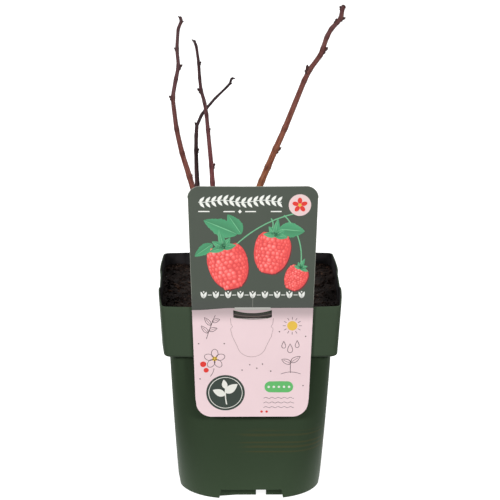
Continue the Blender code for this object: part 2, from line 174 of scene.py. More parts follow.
def rounding(radius, steps):
    """Steps round a quarter turn, each as how far it has come in and how far it is from level"""
    turns = [radians(90 * k / steps) for k in range(1, steps + 1)]
    return [(radius * (1 - cos(turn)), radius * (1 - sin(turn))) for turn in turns]


def lofted(bm, rings, closed=True):
    """Carries one row of points through the others by extruding its edges; returns the rows"""
    order = bm.verts.layers.int.get("order") or bm.verts.layers.int.new("order")
    row = [bm.verts.new(point) for point in rings[0]]
    for place, vert in enumerate(row):
        vert[order] = place
    follow = row[1:] + row[:1] if closed else row[1:]
    edges = [bm.edges.new(pair) for pair in zip(row, follow)]
    rows = [row]
    for points in rings[1:]:
        grown = bmesh.ops.extrude_edge_only(bm, edges=edges)["geom"]
        fresh = {part for part in grown if isinstance(part, bmesh.types.BMVert)}
        edges = [part for part in grown
                 if isinstance(part, bmesh.types.BMEdge) and fresh.issuperset(part.verts)]
        for vert in fresh:
            vert.co = points[vert[order]]
        rows.append(sorted(fresh, key=lambda vert: vert[order]))
    return rows


def capped(bm, rings):
    """Lofts closed rows of points and closes both ends; returns the rows"""
    rows = lofted(bm, rings)
    for row in (rows[0], rows[-1]):
        bmesh.ops.contextual_create(bm, geom=row)
    return rows


def face_outwards(bm):
    """Turns every face of closed shapes to point out"""
    bmesh.ops.recalc_face_normals(bm, faces=bm.faces)


def finished_mesh(name, bm):
    """What was modelled, as a mesh"""
    mesh = bpy.data.meshes.new(name)
    bm.to_mesh(mesh)
    bm.free()
    return mesh


def set_down(name, data):
    """A new object in the scene"""
    made = bpy.data.objects.new(name, data)
    bpy.context.scene.collection.objects.link(made)
    return made


def piece(name, bm, materials, stands_for=()):
    """Makes a finished mesh a piece of the plant, smooth between its sharp edges"""
    mesh = finished_mesh(name, bm)
    for material in materials:
        mesh.materials.append(material)
    mesh.shade_smooth()
    mesh.set_sharp_from_angle(angle=SHARP_ANGLE)
    made = set_down(name, mesh)
    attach(made, "root")
    if stands_for:
        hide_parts(*stands_for)


def carve(bm, tools, operation):
    """Cuts closed tool meshes out of a shell, or joins them to it"""
    shell = set_down("shell", finished_mesh("shell", bm))
    group = bpy.data.collections.new("tools")
    bpy.context.scene.collection.children.link(group)
    for tool in tools:
        group.objects.link(bpy.data.objects.new("tool", finished_mesh("tool", tool)))
    modifier = shell.modifiers.new("cut", "BOOLEAN")
    modifier.operation = operation
    modifier.operand_type = "COLLECTION"
    modifier.collection = group
    bpy.context.view_layer.update()
    cut = bmesh.new()
    cut.from_object(shell, bpy.context.evaluated_depsgraph_get())
    for thing in [shell, *group.objects]:
        bpy.data.objects.remove(thing)
    bpy.data.collections.remove(group)
    return cut


def pot_shell():
    """The moulding before its foot is cut: floor, foot, body, collar and rim, open at the top"""
    foot = body_ring(WALL, 0)
    under_collar = COLLAR_BOTTOM - 0.0002
    edge_top = COLLAR_BOTTOM + COLLAR_EDGE
    rings = [[Vector((p.x, p.y, FOOT_RISE)) for p in foot], foot, body_ring(FOOT_ROUND, 0)]
    rings += [body_ring(0, z) for z in levels(FOOT_ROUND, under_collar, BODY_ROWS)]
    rings += [collar_ring(inset, COLLAR_BOTTOM + lift) for lift, inset in rounding(COLLAR_EDGE, 9)]
    rings += [collar_ring(0, z) for z in levels(edge_top + 0.003, POT_TOP - RIM_ROUND,
                                                COLLAR_ROWS)]
    rings += [collar_ring(inset, POT_TOP - drop) for inset, drop in rounding(RIM_ROUND, 3)]
    rings.append(collar_ring(WALL - 0.5 * RIM_ROUND, POT_TOP))
    rings += [collar_ring(WALL, z) for z in levels(POT_TOP - 0.5 * RIM_ROUND, edge_top + WALL,
                                                   LINING_ROWS)]
    rings.append(collar_ring(WALL + COLLAR_EDGE, COLLAR_BOTTOM + WALL))
    rings += [body_ring(WALL, z) for z in levels(COLLAR_BOTTOM, FOOT_RISE + FLOOR, COLLAR_ROWS)]
    bm = bmesh.new()
    capped(bm, rings)
    face_outwards(bm)
    return bm


def foot_cutters():
    """Four wedges for the cut-outs in the foot, and eight pegs for the drainage holes"""
    tools = []
    for side in range(4):
        bm = bmesh.new()
        bmesh.ops.create_cube(bm, size=1)
        for vert in bm.verts:
            high = vert.co.z > 0
            vert.co.x *= NOTCH_WIDTHS[high]
            vert.co.y *= FOOT_HALF
            vert.co.z = NOTCH_HEIGHT if high else -CUT_BELOW
        bmesh.ops.translate(bm, verts=bm.verts, vec=(NOTCH_SHIFT, -NOTCH_REACH * FOOT_HALF, 0))
        bmesh.ops.rotate(bm, verts=bm.verts, matrix=Matrix.Rotation(side * pi / 2, 3, "Z"))
        tools.append(bm)
    for index in range(8):
        bm = bmesh.new()
        bmesh.ops.create_cone(bm, cap_ends=True, segments=DRAIN_SIDES,
                              radius1=DRAIN_RADIUS, radius2=DRAIN_RADIUS, depth=4 * FLOOR)
        reach = DRAIN_REACH[index % 2]
        angle = index * pi / 4
        bmesh.ops.translate(bm, verts=bm.verts, vec=(reach * cos(angle), reach * sin(angle),
                                                     FOOT_RISE + FLOOR / 2))
        tools.append(bm)
    return tools


def foot_ribs():
    """Upright ribs behind each cut-out: a cranked one on the left and a short one on the right"""
    ribs = []
    height = FOOT_RISE + FLOOR / 2
    for side in range(4):
        turn = Matrix.Rotation(side * pi / 2, 4, "Z")
        for start, end in RIB_RUNS:
            run = Vector(end) - Vector(start)
            middle = (Vector(start) + Vector(end)) / 2
            bm = bmesh.new()
            bmesh.ops.create_cube(bm, size=1)
            bm.transform(turn @ Matrix.Translation((middle.x, middle.y, height / 2))
                         @ Matrix.Rotation(math.atan2(run.y, run.x), 4, "Z")
                         @ Matrix.Diagonal((run.length, RIB_THICKNESS, height, 1)))
            ribs.append(bm)
    return ribs


class Wire:
    """A value in a material's nodes. Arithmetic on it adds Math nodes."""

    def __init__(self, tree, socket=None):
        self.tree = tree
        self.socket = socket

    def feed(self, node, sockets):
        """Sets a node's sockets to values, or links other values to them"""
        for key, value in sockets.items():
            if isinstance(value, Wire):
                self.tree.links.new(value.socket, node.inputs[key])
            else:
                node.inputs[key].default_value = value

    def node(self, kind, settings, sockets, output=0):
        """Any node: its settings first, a ramp's stops among them, then its sockets"""
        made = self.tree.nodes.new("ShaderNode" + kind)
        for name, value in settings.items():
            if name == "stops":
                ramp = made.color_ramp.elements
                ramp.remove(ramp[1])
                ramp[0].position = value[0][0]
                for position, _ in value[1:]:
                    ramp.new(position)
                for element, (_, colour) in zip(ramp, value):
                    element.color = (*colour, 1)
            else:
                setattr(made, name, value)
        self.feed(made, sockets)
        return Wire(self.tree, made.outputs[output])

    def maths(self, operation, *values):
        return self.node("Math", {"operation": operation}, dict(enumerate(values)))

    def __add__(self, other):
        return self.maths("ADD", self, other)

    def __sub__(self, other):
        return self.maths("SUBTRACT", self, other)

    def __rsub__(self, other):
        return self.maths("SUBTRACT", other, self)

    def __mul__(self, other):
        return self.maths("MULTIPLY", self, other)

    __radd__ = __add__
    __rmul__ = __mul__


def material_nodes(name):
    """A new material, its Principled shader, and its Object coordinates"""
    material = bpy.data.materials.new(name)
    material.use_nodes = True
    wire = Wire(material.node_tree)
    place = wire.node("TexCoord", {}, {}, output=3)
    return material, material.node_tree.nodes["Principled BSDF"], place


def coordinate(place, axis):
    """One part of a place: 0 is across, 1 is to the back and 2 is up"""
    return place.node("SeparateXYZ", {}, {0: place}, output=axis)


def speckle(place, scale, detail=2.0, stretch=(1, 1, 1)):
    """Noise from 0 to 1 at a scale per metre, drawn out along an axis by stretch below 1"""
    drawn = place.node("Mapping", {}, {"Vector": place, "Scale": stretch})
    return drawn.node("TexNoise", {}, {"Vector": drawn, "Scale": scale, "Detail": detail})


def ranged(value, low, high, start=0.0, end=1.0):
    """Maps a value's range to another, eased and held at its ends"""
    return value.node("MapRange", {"interpolation_type": "SMOOTHSTEP"},
                      {"Value": value, "From Min": low, "From Max": high,
                       "To Min": start, "To Max": end})


def blended(factor, first, second):
    """A colour between two others"""
    return factor.node("Mix", {"data_type": "RGBA"}, {0: factor, 6: first, 7: second}, output=2)


def bumped(height, strength, distance):
    """A normal pushed about by a height"""
    return height.node("Bump", {}, {"Strength": strength, "Distance": distance, "Height": height})


def rgb(red, green, blue):
    """An opaque colour"""
    return (red, green, blue, 1.0)


def green_plastic():
    """Satin polypropylene: fine grain, cloudy tone, faint draw lines low on the body, and painted
    light that makes the collar lighter than the body
    """
    material, shader, place = material_nodes("green_plastic")
    clouds = speckle(place, 16, 4)
    grain = speckle(place, 1500, 2)
    draw = speckle(place, 1.0, 3, (4, 4, 640))
    across = coordinate(place, 0)
    height = coordinate(place, 2)
    below_label = ranged(height, 0.064, 0.058) * ranged(height, 0.034, 0.046)
    low = below_label * ranged(across, -0.026, -0.016)
    lines = (draw - 0.5) * low * ranged(speckle(place, 14, 1), 0.42, 0.56, 0.35, 1.6)
    tone = blended(clouds, rgb(0.0245, 0.0395, 0.0205), rgb(0.0315, 0.0490, 0.0275))
    # Painted light: from its lower edge up, the collar is blended towards a lighter grey-green,
    # standing for the light that falls more on it than on the body below.
    collar_painted_light = ranged(height, COLLAR_BOTTOM, COLLAR_BOTTOM + COLLAR_EDGE, 0.0, 0.4)
    tone = blended(collar_painted_light, tone, rgb(0.068, 0.094, 0.062))
    colour = blended(ranged(lines, 0.02, 0.16, 0.0, 0.5), tone, rgb(0.054, 0.052, 0.020))
    place.feed(shader, {"Base Color": colour, "Specular IOR Level": 0.04,
                        "Roughness": 0.46 + clouds * 0.10 + (grain - 0.5) * 0.08,
                        "Normal": bumped(grain + lines * 4, 0.12, 0.0002)})
    return material


def dark_inner_plastic():
    """The pot's inside: a dull near-black, mottled by noise"""
    material, shader, place = material_nodes("dark_inner_plastic")
    mottle = speckle(place, 120, 5)
    colour = blended(ranged(mottle, 0.35, 0.7), rgb(0.005, 0.0045, 0.005), rgb(0.015, 0.013, 0.014))
    place.feed(shader, {"Base Color": colour, "Specular IOR Level": 0.10,
                        "Roughness": 0.62 + mottle * 0.2,
                        "Normal": bumped(mottle, 0.3, 0.0003)})
    return material


def pot():
    """The whole pot, with its inner faces given the near-black finish"""
    shell = carve(carve(pot_shell(), foot_cutters(), "DIFFERENCE"), foot_ribs(), "UNION")
    for face in shell.faces:
        middle = face.calc_center_median()
        outwards = Vector((middle.x, middle.y, 0)).normalized()
        facing_in = face.normal.dot(outwards) < -0.2
        level = face.normal.z > 0.5 and middle.z < POT_TOP - 0.002
        above_floor = middle.z > FOOT_RISE + 0.5 * FLOOR
        face.material_index = int((facing_in or level) and above_floor)
    piece("pot_moulding", shell, [green_plastic(), dark_inner_plastic()], ["pot"])


pot()

# The peat: damp, fibrous growing medium filled to a finger's width below the rim. It is one
# settled mass, with crumbs, clods, fibres, shreds of bark and pale grit lying loose on its top.
CLEAR = 0.0003
PEAT_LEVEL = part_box("cane_left")[0].z - CLEAR
PEAT_SWELL = 0.0012
LEVEL_MIDDLE = Vector((-0.024, 0.002))
LEVEL_RADIUS = 0.026
LEVEL_EDGE = 0.02
LUMP_RISE = 0.0007
GRAIN_RISE = 0.0003
PEAT_RINGS = 60
FIBRE_RADIUS = 0.014
CRUMB_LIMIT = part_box("soil")[1].x - 0.0012
strewing = random.Random(11)


def peat_height(x, y):
    """The peat's surface: level round the canes, gently uneven towards the walls"""
    away = (Vector((x, y)) - LEVEL_MIDDLE).length
    rough = min(1.0, max(0.0, (away - LEVEL_RADIUS) / LEVEL_EDGE))
    waves = sin(95 * x + 1.3) * cos(120 * y - 0.6) + 0.5 * sin(210 * x - 160 * y)
    return PEAT_LEVEL + PEAT_SWELL * rough * waves / 1.5


def peat_surface(x, y):
    """The surface with its lumps and its crumbly grain"""
    lumps = noise.fractal(Vector((x, y, 0)) * 140, 0.9, 2.1, 4)
    grain = noise.noise(Vector((x, y, 0.3)) * 620)
    return peat_height(x, y) + LUMP_RISE * lumps + GRAIN_RISE * grain


def peat_mass():
    """The filled body of peat, a hair clear of the walls, with a finely broken top"""
    inset = WALL + CLEAR
    step = COLLAR_BOTTOM + inset
    rings = [body_ring(inset, z) for z in levels(FOOT_RISE + FLOOR + CLEAR, step, 6)]
    rings.append(collar_ring(inset + COLLAR_EDGE, step))
    rings.append(collar_ring(inset, step + COLLAR_EDGE))
    edge = collar_ring(inset, PEAT_LEVEL)
    first_top = len(rings)
    for ring in range(PEAT_RINGS):
        share = 1 - ring / PEAT_RINGS
        rings.append([Vector((p.x * share, p.y * share, PEAT_LEVEL)) for p in edge])
    bm = bmesh.new()
    top = {vert for row in capped(bm, rings)[first_top:] for vert in row}
    around = [e for e in bm.edges if top.issuperset(e.verts)]
    bmesh.ops.subdivide_edges(bm, edges=around, cuts=1, use_grid_fill=True)
    for vert in bm.verts:
        if abs(vert.co.z - PEAT_LEVEL) < 1e-5:
            vert.co.z = peat_surface(vert.co.x, vert.co.y)
    face_outwards(bm)
    return bm


def strewn(name, shapes, places, material):
    """Copies of a few small shapes, one for each placing matrix, joined into one piece"""
    spots = []
    faces = []
    for index, place in enumerate(places):
        shape = shapes[index % len(shapes)]
        first = len(spots)
        spots += [place @ vert.co for vert in shape.vertices]
        faces += [[first + corner for corner in face.vertices] for face in shape.polygons]
    mesh = bpy.data.meshes.new(name)
    mesh.from_pydata(spots, [], faces)
    bm = bmesh.new()
    bm.from_mesh(mesh)
    piece(name, bm, [material])


def crumb_shapes(fineness, count):
    """A few lumps of broken peat, each about one unit across"""
    shapes = []
    for index in range(count):
        bm = bmesh.new()
        bmesh.ops.create_icosphere(bm, subdivisions=fineness, radius=0.5)
        for vert in bm.verts:
            knobs = noise.noise(vert.co * 3.1 + Vector((7 * index, 0, 0)))
            vert.co *= 1 + 0.55 * knobs
        shapes.append(finished_mesh("crumb", bm))
    return shapes


def fibre_shapes(count):
    """A few bent, tapering fibres, each one unit long"""
    shapes = []
    for _ in range(count):
        bend = strewing.uniform(0.2, 0.9)
        lift = strewing.uniform(0.05, 0.25)
        rings = []
        for share in levels(-0.5, 0.5, 7):
            middle = Vector((share, bend * (0.25 - share * share), lift * (share + 0.5) ** 2))
            thick = FIBRE_RADIUS * (1.2 - abs(share) * 1.6)
            rings.append([middle + Vector((0, thick * cos(a), thick * sin(a)))
                          for a in (0, 2 * pi / 3, 4 * pi / 3)])
        bm = bmesh.new()
        capped(bm, rings)
        face_outwards(bm)
        shapes.append(finished_mesh("fibre", bm))
    return shapes


def scattering(count, smallest, largest, flatness, sink):
    """Placing matrices over the peat: mostly small sizes, a few large, turned at random"""
    places = []
    while len(places) < count:
        size = smallest + (largest - smallest) * strewing.random() ** 3
        reach = CRUMB_LIMIT - 0.6 * size
        x, y = strewing.uniform(-reach, reach), strewing.uniform(-reach, reach)
        turn = Matrix.Rotation(strewing.uniform(0, 2 * pi), 4, "Z")
        tilt = Matrix.Rotation(strewing.gauss(0, 0.35), 4, "X")
        height = peat_surface(x, y) + size * flatness * (0.5 - sink)
        grown = Matrix.Diagonal((size, size * strewing.uniform(0.6, 1), size * flatness, 1))
        places.append(Matrix.Translation((x, y, height)) @ turn @ tilt @ grown)
    return places


def peat_material(name, dark, pale):
    """Damp peat: two tones mixed by a fine grain, dull, and rough to the touch"""
    material, shader, place = material_nodes(name)
    grain = speckle(place, 420, 6)
    patches = speckle(place, 60, 3)
    colour = blended(ranged(grain * 0.7 + patches * 0.3, 0.38, 0.66), dark, pale)
    place.feed(shader, {"Base Color": colour, "Specular IOR Level": 0.08,
                        "Roughness": 0.78 + grain * 0.2, "Normal": bumped(grain, 0.6, 0.0004)})
    return material


piece("peat_mass", peat_mass(),
      [peat_material("damp_peat", rgb(0.007, 0.0046, 0.0040), rgb(0.026, 0.0158, 0.0124))],
      ["soil"])
strewn("peat_crumbs", crumb_shapes(1, 5), scattering(3200, 0.0006, 0.0026, 0.75, 0.25),
       peat_material("peat_crumb", rgb(0.008, 0.0050, 0.0042), rgb(0.035, 0.0205, 0.0155)))
strewn("peat_clods", crumb_shapes(2, 5), scattering(260, 0.0022, 0.0062, 0.6, 0.35),
       peat_material("peat_clod", rgb(0.009, 0.0056, 0.0050), rgb(0.044, 0.0250, 0.0190)))
strewn("peat_fibres", fibre_shapes(6), scattering(420, 0.004, 0.013, 1.0, 0.5),
       peat_material("peat_fibre", rgb(0.034, 0.020, 0.014), rgb(0.115, 0.072, 0.050)))
strewn("peat_bark", crumb_shapes(1, 4), scattering(150, 0.0018, 0.0060, 0.22, 0.1),
       peat_material("bark_shred", rgb(0.030, 0.014, 0.009), rgb(0.085, 0.045, 0.028)))
strewn("peat_grit", crumb_shapes(1, 3), scattering(110, 0.0005, 0.0012, 0.8, 0.1),
       peat_material("pale_grit", rgb(0.110, 0.100, 0.095), rgb(0.260, 0.240, 0.225)))

# The canes: last year's raspberry stems, bare and dormant, standing loose in the peat. Smooth
# brown bark with long fine streaks thickens at each node under a scaly, dark winter bud.
MM = 0.001
CANES = {
    "cane_left": {
        "foot": (-26.3, 12.0),
        "radii": (2.95, 1.20),
        "internodes": [
            (50, -12, 2), (43, -15.5, 4), (20, -17.5, 5), (20, -12.4, 3), (26, -6.7, 2),
            (15, 10.5, 4), (10.5, 12, 5), (14, -5.4, 4), (16, 4, 7), (6.5, 24, 8), (4, -16, 0),
        ],
        "buds": [(1, 1, 3.4), (4, -1, 4.6), (6, 1, 5.4), (7, -1, 3.4), (0, 2, 3.6), (9, 1, 2.4),
                 (10, -1, 2.2)],
    },
    "cane_dark": {
        "foot": (-34.5, -2.0),
        "radii": (2.60, 1.42),
        "internodes": [(51, -5.4, 0), (38, -4, 1.5), (27.7, -1.8, 2), (12, 0.9, 4), (9.8, 4, 0)],
        "tip": 0.0022,
        "buds": [(2, 1, 4.4), (0, -2, 3.4), (4, -1, 3.0)],
    },
    "cane_middle": {
        "foot": (-23.2, -6.0),
        "radii": (2.62, 1.04),
        "internodes": [
            (53.5, -4.4, -2), (40, -3.6, -3), (13.5, -3.3, -4), (30, -5.2, -4), (13, -5, -4),
            (10, -8.4, -5), (10.5, -15.8, -5.5), (10, -5.7, -6), (12, -3, -5), (14, -7.5, -4),
            (5.4, -21, -10),
        ],
        "buds": [(2, 1, 5.4), (3, 1, 3.2), (6, -1, 5.2), (8, 1, 3.6), (0, 2, 3.4), (10, -1, 2.6)],
    },
    "cane_right": {
        "foot": (-14.1, 6.0),
        "radii": (3.10, 1.70),
        "internodes": [
            (53.5, 10.5, -4), (42, 19.3, -5.5), (13, 21.7, -8), (16.5, 21.3, -7), (19, 22.2, -9),
            (43, 20.2, -7.5), (10, 24, -10), (15, 34, -11), (5, 18, -8), (11, 16.5, -9),
            (7.5, 27, -9), (7, 41, -10), (4.5, 36, -10), (7.8, 7, -6), (2.8, 38, 0),
        ],
        "buds": [
            (3, 1, 6.8), (6, -1, 7.4), (8, 1, 7.0), (11, -1, 4.8), (12, 1, 5.4), (13, -1, 4.0),
            (1, 2, 4.6), (5, 2, 4.6),
        ],
    },
    "shoot_dark": {
        "radii": (1.30, 0.84),
        "internodes": [(9.6, 23.6, 5.5), (6, 38, 10), (11, 42, 10), (12.5, 47, 9), (4, 42, 12),
                       (3.4, 14, 0), (2.2, 58, 0)],
        "buds": [(4, 1, 2.6), (6, 1, 2.4)],
    },
}
EASE = 0.35
FLARE = 0.55
FLARE_LENGTH = 6.0
NODE_SWELL = 0.12
NODE_SPREAD = 0.0021
NODE_SHADE = 0.35
UNEVEN = 0.035
RING_STEP = 0.0008
ROUND = 22
TIP_WIDTH = 0.45
TIP_SHADE = 0.8
TIP_SHADE_LENGTH = 0.0022
SHARP_TIP = 0.0006
BUD_WIDTH = 0.46
BUD_SPLAY = radians(34)
BUD_SCALES = 4
BUD_SHADE = 0.86
SCALE_SHAPE = (0.86, 0.70, 0.62)
STUB_SHAPE = (0.30, 0.15, 0.42)
SHOOT_SINK = 0.0016


def smooth_curve(start, control, end, count):
    """Points along a curve that leaves start and reaches end, drawn towards a control point"""
    return [start.lerp(control, t).lerp(control.lerp(end, t), t) for t in levels(0, 1, count)]


def aimed(way, axis="Z"):
    """A turn that points an axis along a way"""
    return way.to_track_quat(axis, "Y").to_matrix().to_4x4()


def stem_direction(right, away):
    """A unit vector upwards, leaned to the right and to the back by two angles in degrees"""
    level = sin(radians(right)) * cos(radians(away))
    return Vector((level, sin(radians(away)), cos(radians(right)) * cos(radians(away))))


def stem_nodes(start, internodes):
    """The nodes along a stem, from its start through each internode"""
    nodes = [Vector(start)]
    for length, right, away in internodes:
        nodes.append(nodes[-1] + stem_direction(right, away) * length * MM)
    return nodes


def stem_line(nodes):
    """Closely spaced points along the stem, with each bend eased by a quadratic arc"""
    corners = [nodes[0]]
    for before, node, after in zip(nodes, nodes[1:], nodes[2:]):
        ease = EASE * min((node - before).length, (after - node).length)
        enter = node + (before - node).normalized() * ease
        leave = node + (after - node).normalized() * ease
        corners += smooth_curve(enter, node, leave, 7)
    corners.append(nodes[-1])
    line = [corners[0]]
    for start, end in zip(corners, corners[1:]):
        steps = max(1, round((end - start).length / RING_STEP))
        line += [start.lerp(end, k / steps) for k in range(1, steps + 1)]
    return line


def stem_mesh(bm, nodes, radii, flared, wrinkle, seed, tip_length):
    """A stem ring by ring: its taper, its swellings and the relief of its bark"""
    grain = bm.verts.layers.float_vector.new("grain")
    dark = bm.verts.layers.float.new("dark")
    line = stem_line(nodes)
    total = sum((b - a).length for a, b in zip(line, line[1:]))
    side = Vector((1, 0, 0))
    along = 0.0
    rings = []
    marks = []
    for index, middle in enumerate(line):
        after = line[min(index + 1, len(line) - 1)]
        before = line[max(index - 1, 0)]
        along += (middle - before).length
        heading = (after - before).normalized()
        side = (side - heading * side.dot(heading)).normalized()
        other = heading.cross(side)
        knot = max(exp(-((middle - node).length / NODE_SPREAD) ** 2) for node in nodes[1:])
        left = total - along
        radius = (radii[0] + (radii[1] - radii[0]) * along / total) * (1 + NODE_SWELL * knot)
        if flared:
            radius *= 1 + FLARE * exp(-along / MM / FLARE_LENGTH)
        radius *= 1 + UNEVEN * noise.noise(Vector((seed, 0, along * 130)))
        radius *= TIP_WIDTH + (1 - TIP_WIDTH) * min(1.0, left / tip_length)
        shading = max(NODE_SHADE * knot, TIP_SHADE * exp(-left / TIP_SHADE_LENGTH))
        ring = []
        for step in range(ROUND):
            angle = 2 * pi * step / ROUND
            spot = Vector((cos(angle) * 2.2, sin(angle) * 2.2, along * 55 + seed * 9))
            fine = Vector((cos(angle) * 6, sin(angle) * 6, along * 210 + seed * 5))
            relief = wrinkle * (0.7 * noise.noise(spot) + 0.5 * noise.noise(fine))
            out = side * cos(angle) + other * sin(angle)
            point = middle + out * (radius + relief) * MM
            if flared:
                point.z = max(point.z, nodes[0].z)
            ring.append(point)
            marks.append((Vector((cos(angle), sin(angle), along / MM)), shading))
        rings.append(ring)
    verts = [vert for row in capped(bm, rings) for vert in row]
    for vert, (place, shading) in zip(verts, marks):
        vert[grain] = place
        vert[dark] = shading


def bud_scale(bm, place, length, width, squash):
    """One pointed scale of a bud, thickest below its middle"""
    made = bmesh.ops.create_uvsphere(bm, u_segments=10, v_segments=8, radius=0.5)["verts"]
    for vert in made:
        narrow = 1 - 0.62 * max(0.0, vert.co.z * 2) ** 1.5
        vert.co = Vector((vert.co.x * width * narrow, vert.co.y * width * squash * narrow,
                          vert.co.z * length))
    bmesh.ops.transform(bm, matrix=place, verts=made)
    return made


def winter_bud(bm, node, stem, side, length, stem_radius):
    """A bud in its scales, over the stub that the fallen leaf left under it"""
    out = Vector((side, 0, 0)) if abs(side) == 1 else Vector((0, side / 2, 0))
    out = (out - stem * out.dot(stem)).normalized()
    axis = (stem * cos(BUD_SPLAY) + out * sin(BUD_SPLAY)).normalized()
    size = length * MM
    width = BUD_WIDTH * size
    root = node + out * stem_radius * 0.8 * MM + axis * length * 0.03 * MM
    seat = Matrix.Translation(root) @ aimed(axis)
    made = bud_scale(bm, seat, size, width, 1.0)
    long, wide, flat = SCALE_SHAPE
    for index in range(BUD_SCALES):
        turn = Matrix.Rotation(index * pi / 2 + 0.4, 4, "Z")
        spread = Matrix.Rotation(radians(9 - 3 * (index % 2)), 4, "X")
        shift = Matrix.Translation((0, -0.26 * width, -0.05 * size * (1 + index % 2)))
        made += bud_scale(bm, seat @ turn @ spread @ shift, long * size, wide * width, flat)
    foot = node + out * stem_radius * 0.75 * MM - stem * 0.32 * size
    stub = Matrix.Translation(foot) @ aimed((stem * 0.55 + out * 0.8).normalized())
    low, high, tall = (share * size for share in STUB_SHAPE)
    made += bmesh.ops.create_cone(bm, cap_ends=True, segments=9, radius1=low, radius2=high,
                                  depth=tall, matrix=stub)["verts"]
    grain = bm.verts.layers.float_vector["grain"]
    dark = bm.verts.layers.float["dark"]
    for vert in made:
        vert[grain] = vert.co * 900
        vert[dark] = BUD_SHADE


def kept_value(place, name, output=2):
    """What the mesh keeps at its points under a name: output 2 is a number and 1 a vector"""
    return place.node("Attribute", {"attribute_name": name}, {}, output=output)


def bark(name, stops, streak, bloom):
    """Bark from foot to tip: tones by height, long streaks, pale bloom and small pores"""
    material, shader, place = material_nodes(name)
    height = coordinate(place, 2)
    rising = height.node("MapRange", {}, {"Value": height, "From Min": PEAT_LEVEL,
                                          "From Max": cad_box[1].z})
    tone = rising.node("ValToRGB", {"stops": stops}, {0: rising})
    skin = kept_value(place, "grain", 1)
    dark = kept_value(place, "dark")
    streaks = speckle(skin, 1.0, 4, (2.6, 2.6, 0.10))
    patches = speckle(skin, 1.0, 3, (0.9, 0.9, 0.16))
    drawn = skin.node("Mapping", {}, {"Vector": skin, "Scale": (2.4, 2.4, 0.9)})
    pores = drawn.node("TexVoronoi", {}, {"Vector": drawn, "Scale": 1.0})
    colour = blended(ranged(streaks, 0.43, 0.68, 0.0, 0.95), tone, rgb(*streak))
    colour = blended(ranged(patches, 0.54, 0.76, 0.0, 0.4), colour, rgb(*bloom))
    colour = blended(ranged(pores, 0.16, 0.06, 0.0, 0.35), colour, rgb(0.34, 0.20, 0.13))
    colour = blended(dark * 0.92, colour, rgb(0.020, 0.009, 0.009))
    place.feed(shader, {"Base Color": colour, "Specular IOR Level": 0.14,
                        "Roughness": 0.42 + streaks * 0.28,
                        "Normal": bumped(streaks - dark * 0.1, 0.35, 0.0003)})
    return material


BARKS = {
    "cane_left": (
        [(0.0, (0.200, 0.062, 0.040)), (0.45, (0.182, 0.058, 0.044)),
         (0.7, (0.092, 0.042, 0.048)), (1.0, (0.045, 0.028, 0.035))],
        (0.080, 0.022, 0.018), (0.24, 0.130, 0.100)),
    "cane_dark": (
        [(0.0, (0.044, 0.019, 0.019)), (1.0, (0.040, 0.018, 0.021))],
        (0.016, 0.007, 0.009), (0.095, 0.058, 0.062)),
    "cane_middle": (
        [(0.0, (0.220, 0.052, 0.046)), (0.5, (0.160, 0.050, 0.052)),
         (0.68, (0.072, 0.034, 0.036)), (0.78, (0.030, 0.016, 0.018)),
         (1.0, (0.024, 0.014, 0.017))],
        (0.060, 0.016, 0.020), (0.19, 0.115, 0.115)),
    "cane_right": (
        [(0.0, (0.300, 0.122, 0.042)), (0.45, (0.265, 0.094, 0.044)),
         (0.62, (0.190, 0.066, 0.048)), (1.0, (0.096, 0.040, 0.046))],
        (0.110, 0.028, 0.020), (0.30, 0.150, 0.095)),
    "shoot_dark": (
        [(0.0, (0.034, 0.016, 0.017)), (1.0, (0.026, 0.014, 0.017))],
        (0.018, 0.008, 0.010), (0.085, 0.050, 0.055)),
}


def cane(name, start, flared, wrinkle, seed):
    """One stem with its buds; returns where it ends and which way it points there"""
    spec = CANES[name]
    thick, thin = spec["radii"]
    lengths = [length for length, _, _ in spec["internodes"]]
    nodes = stem_nodes(start, spec["internodes"])
    bm = bmesh.new()
    stem_mesh(bm, nodes, spec["radii"], flared, wrinkle, seed, spec.get("tip", SHARP_TIP))
    for index, side, length in spec["buds"]:
        radius = thick + (thin - thick) * sum(lengths[:index + 1]) / sum(lengths)
        upward = (nodes[index + 1] - nodes[index]).normalized()
        winter_bud(bm, nodes[index + 1], upward, side, length, radius)
    face_outwards(bm)
    piece(name + "_bark", bm, [bark(name + "_bark", *BARKS[name])], [name])
    return nodes[-1], (nodes[-1] - nodes[-2]).normalized()


def standing_cane(name, wrinkle, seed):
    """A cane that rises from the peat"""
    across, back = CANES[name]["foot"]
    return cane(name, (across * MM, back * MM, PEAT_LEVEL + CLEAR), True, wrinkle, seed)


standing_cane("cane_left", 0.08, 0)
bend_end, bend_heading = standing_cane("cane_dark", 0.16, 1)
standing_cane("cane_middle", 0.08, 2)
standing_cane("cane_right", 0.08, 3)
cane("shoot_dark", bend_end - bend_heading * SHOOT_SINK, False, 0.10, 9)

# The label: one die-cut sheet of semi-gloss plastic, printed green above its fold and pink
# below, that hangs on the rim by a tab behind it. A bowed slot and a scored tongue sit under
# the fold.
LABEL_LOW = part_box("label")[0]
LABEL_MIDDLE = 0.0012
LABEL_ABOVE = 98.0
LABEL_BELOW = 92.7
LABEL_TOP_WIDTH = 100.8
LABEL_BOTTOM_WIDTH = 88.2
LABEL_TOP_RADIUS = 9.5
LABEL_BOTTOM_RADIUS = 12.5
LABEL_BACK = LABEL_LOW.y + 0.0008
FACE_SET_BACK = 0.00025
LABEL_FACE = LABEL_LOW.y + FACE_SET_BACK
LABEL_DRAFT = math.atan2(COLLAR_DRAFT, COLLAR_HEIGHT)
INK = 0.05
FOLD_RIDGE = 0.12
FOLD_SPREAD = 2.4
TOP_BOW = 1.1
SLOT_HALF = 15.0
SLOT_TOP = -1.8
SLOT_FOOT = -8.0
SLOT_LIP = 2.6
SLOT_SAG = 1.9
EDGE_SLANT = 1.7
BLANK_HALF = 60
FOLD_ZONE = 11
ROW_STEP = 0.8
COLUMN_STEP = 3.75
SLOT_COLUMN_STEP = 1.5
ARC_CUTS = 12


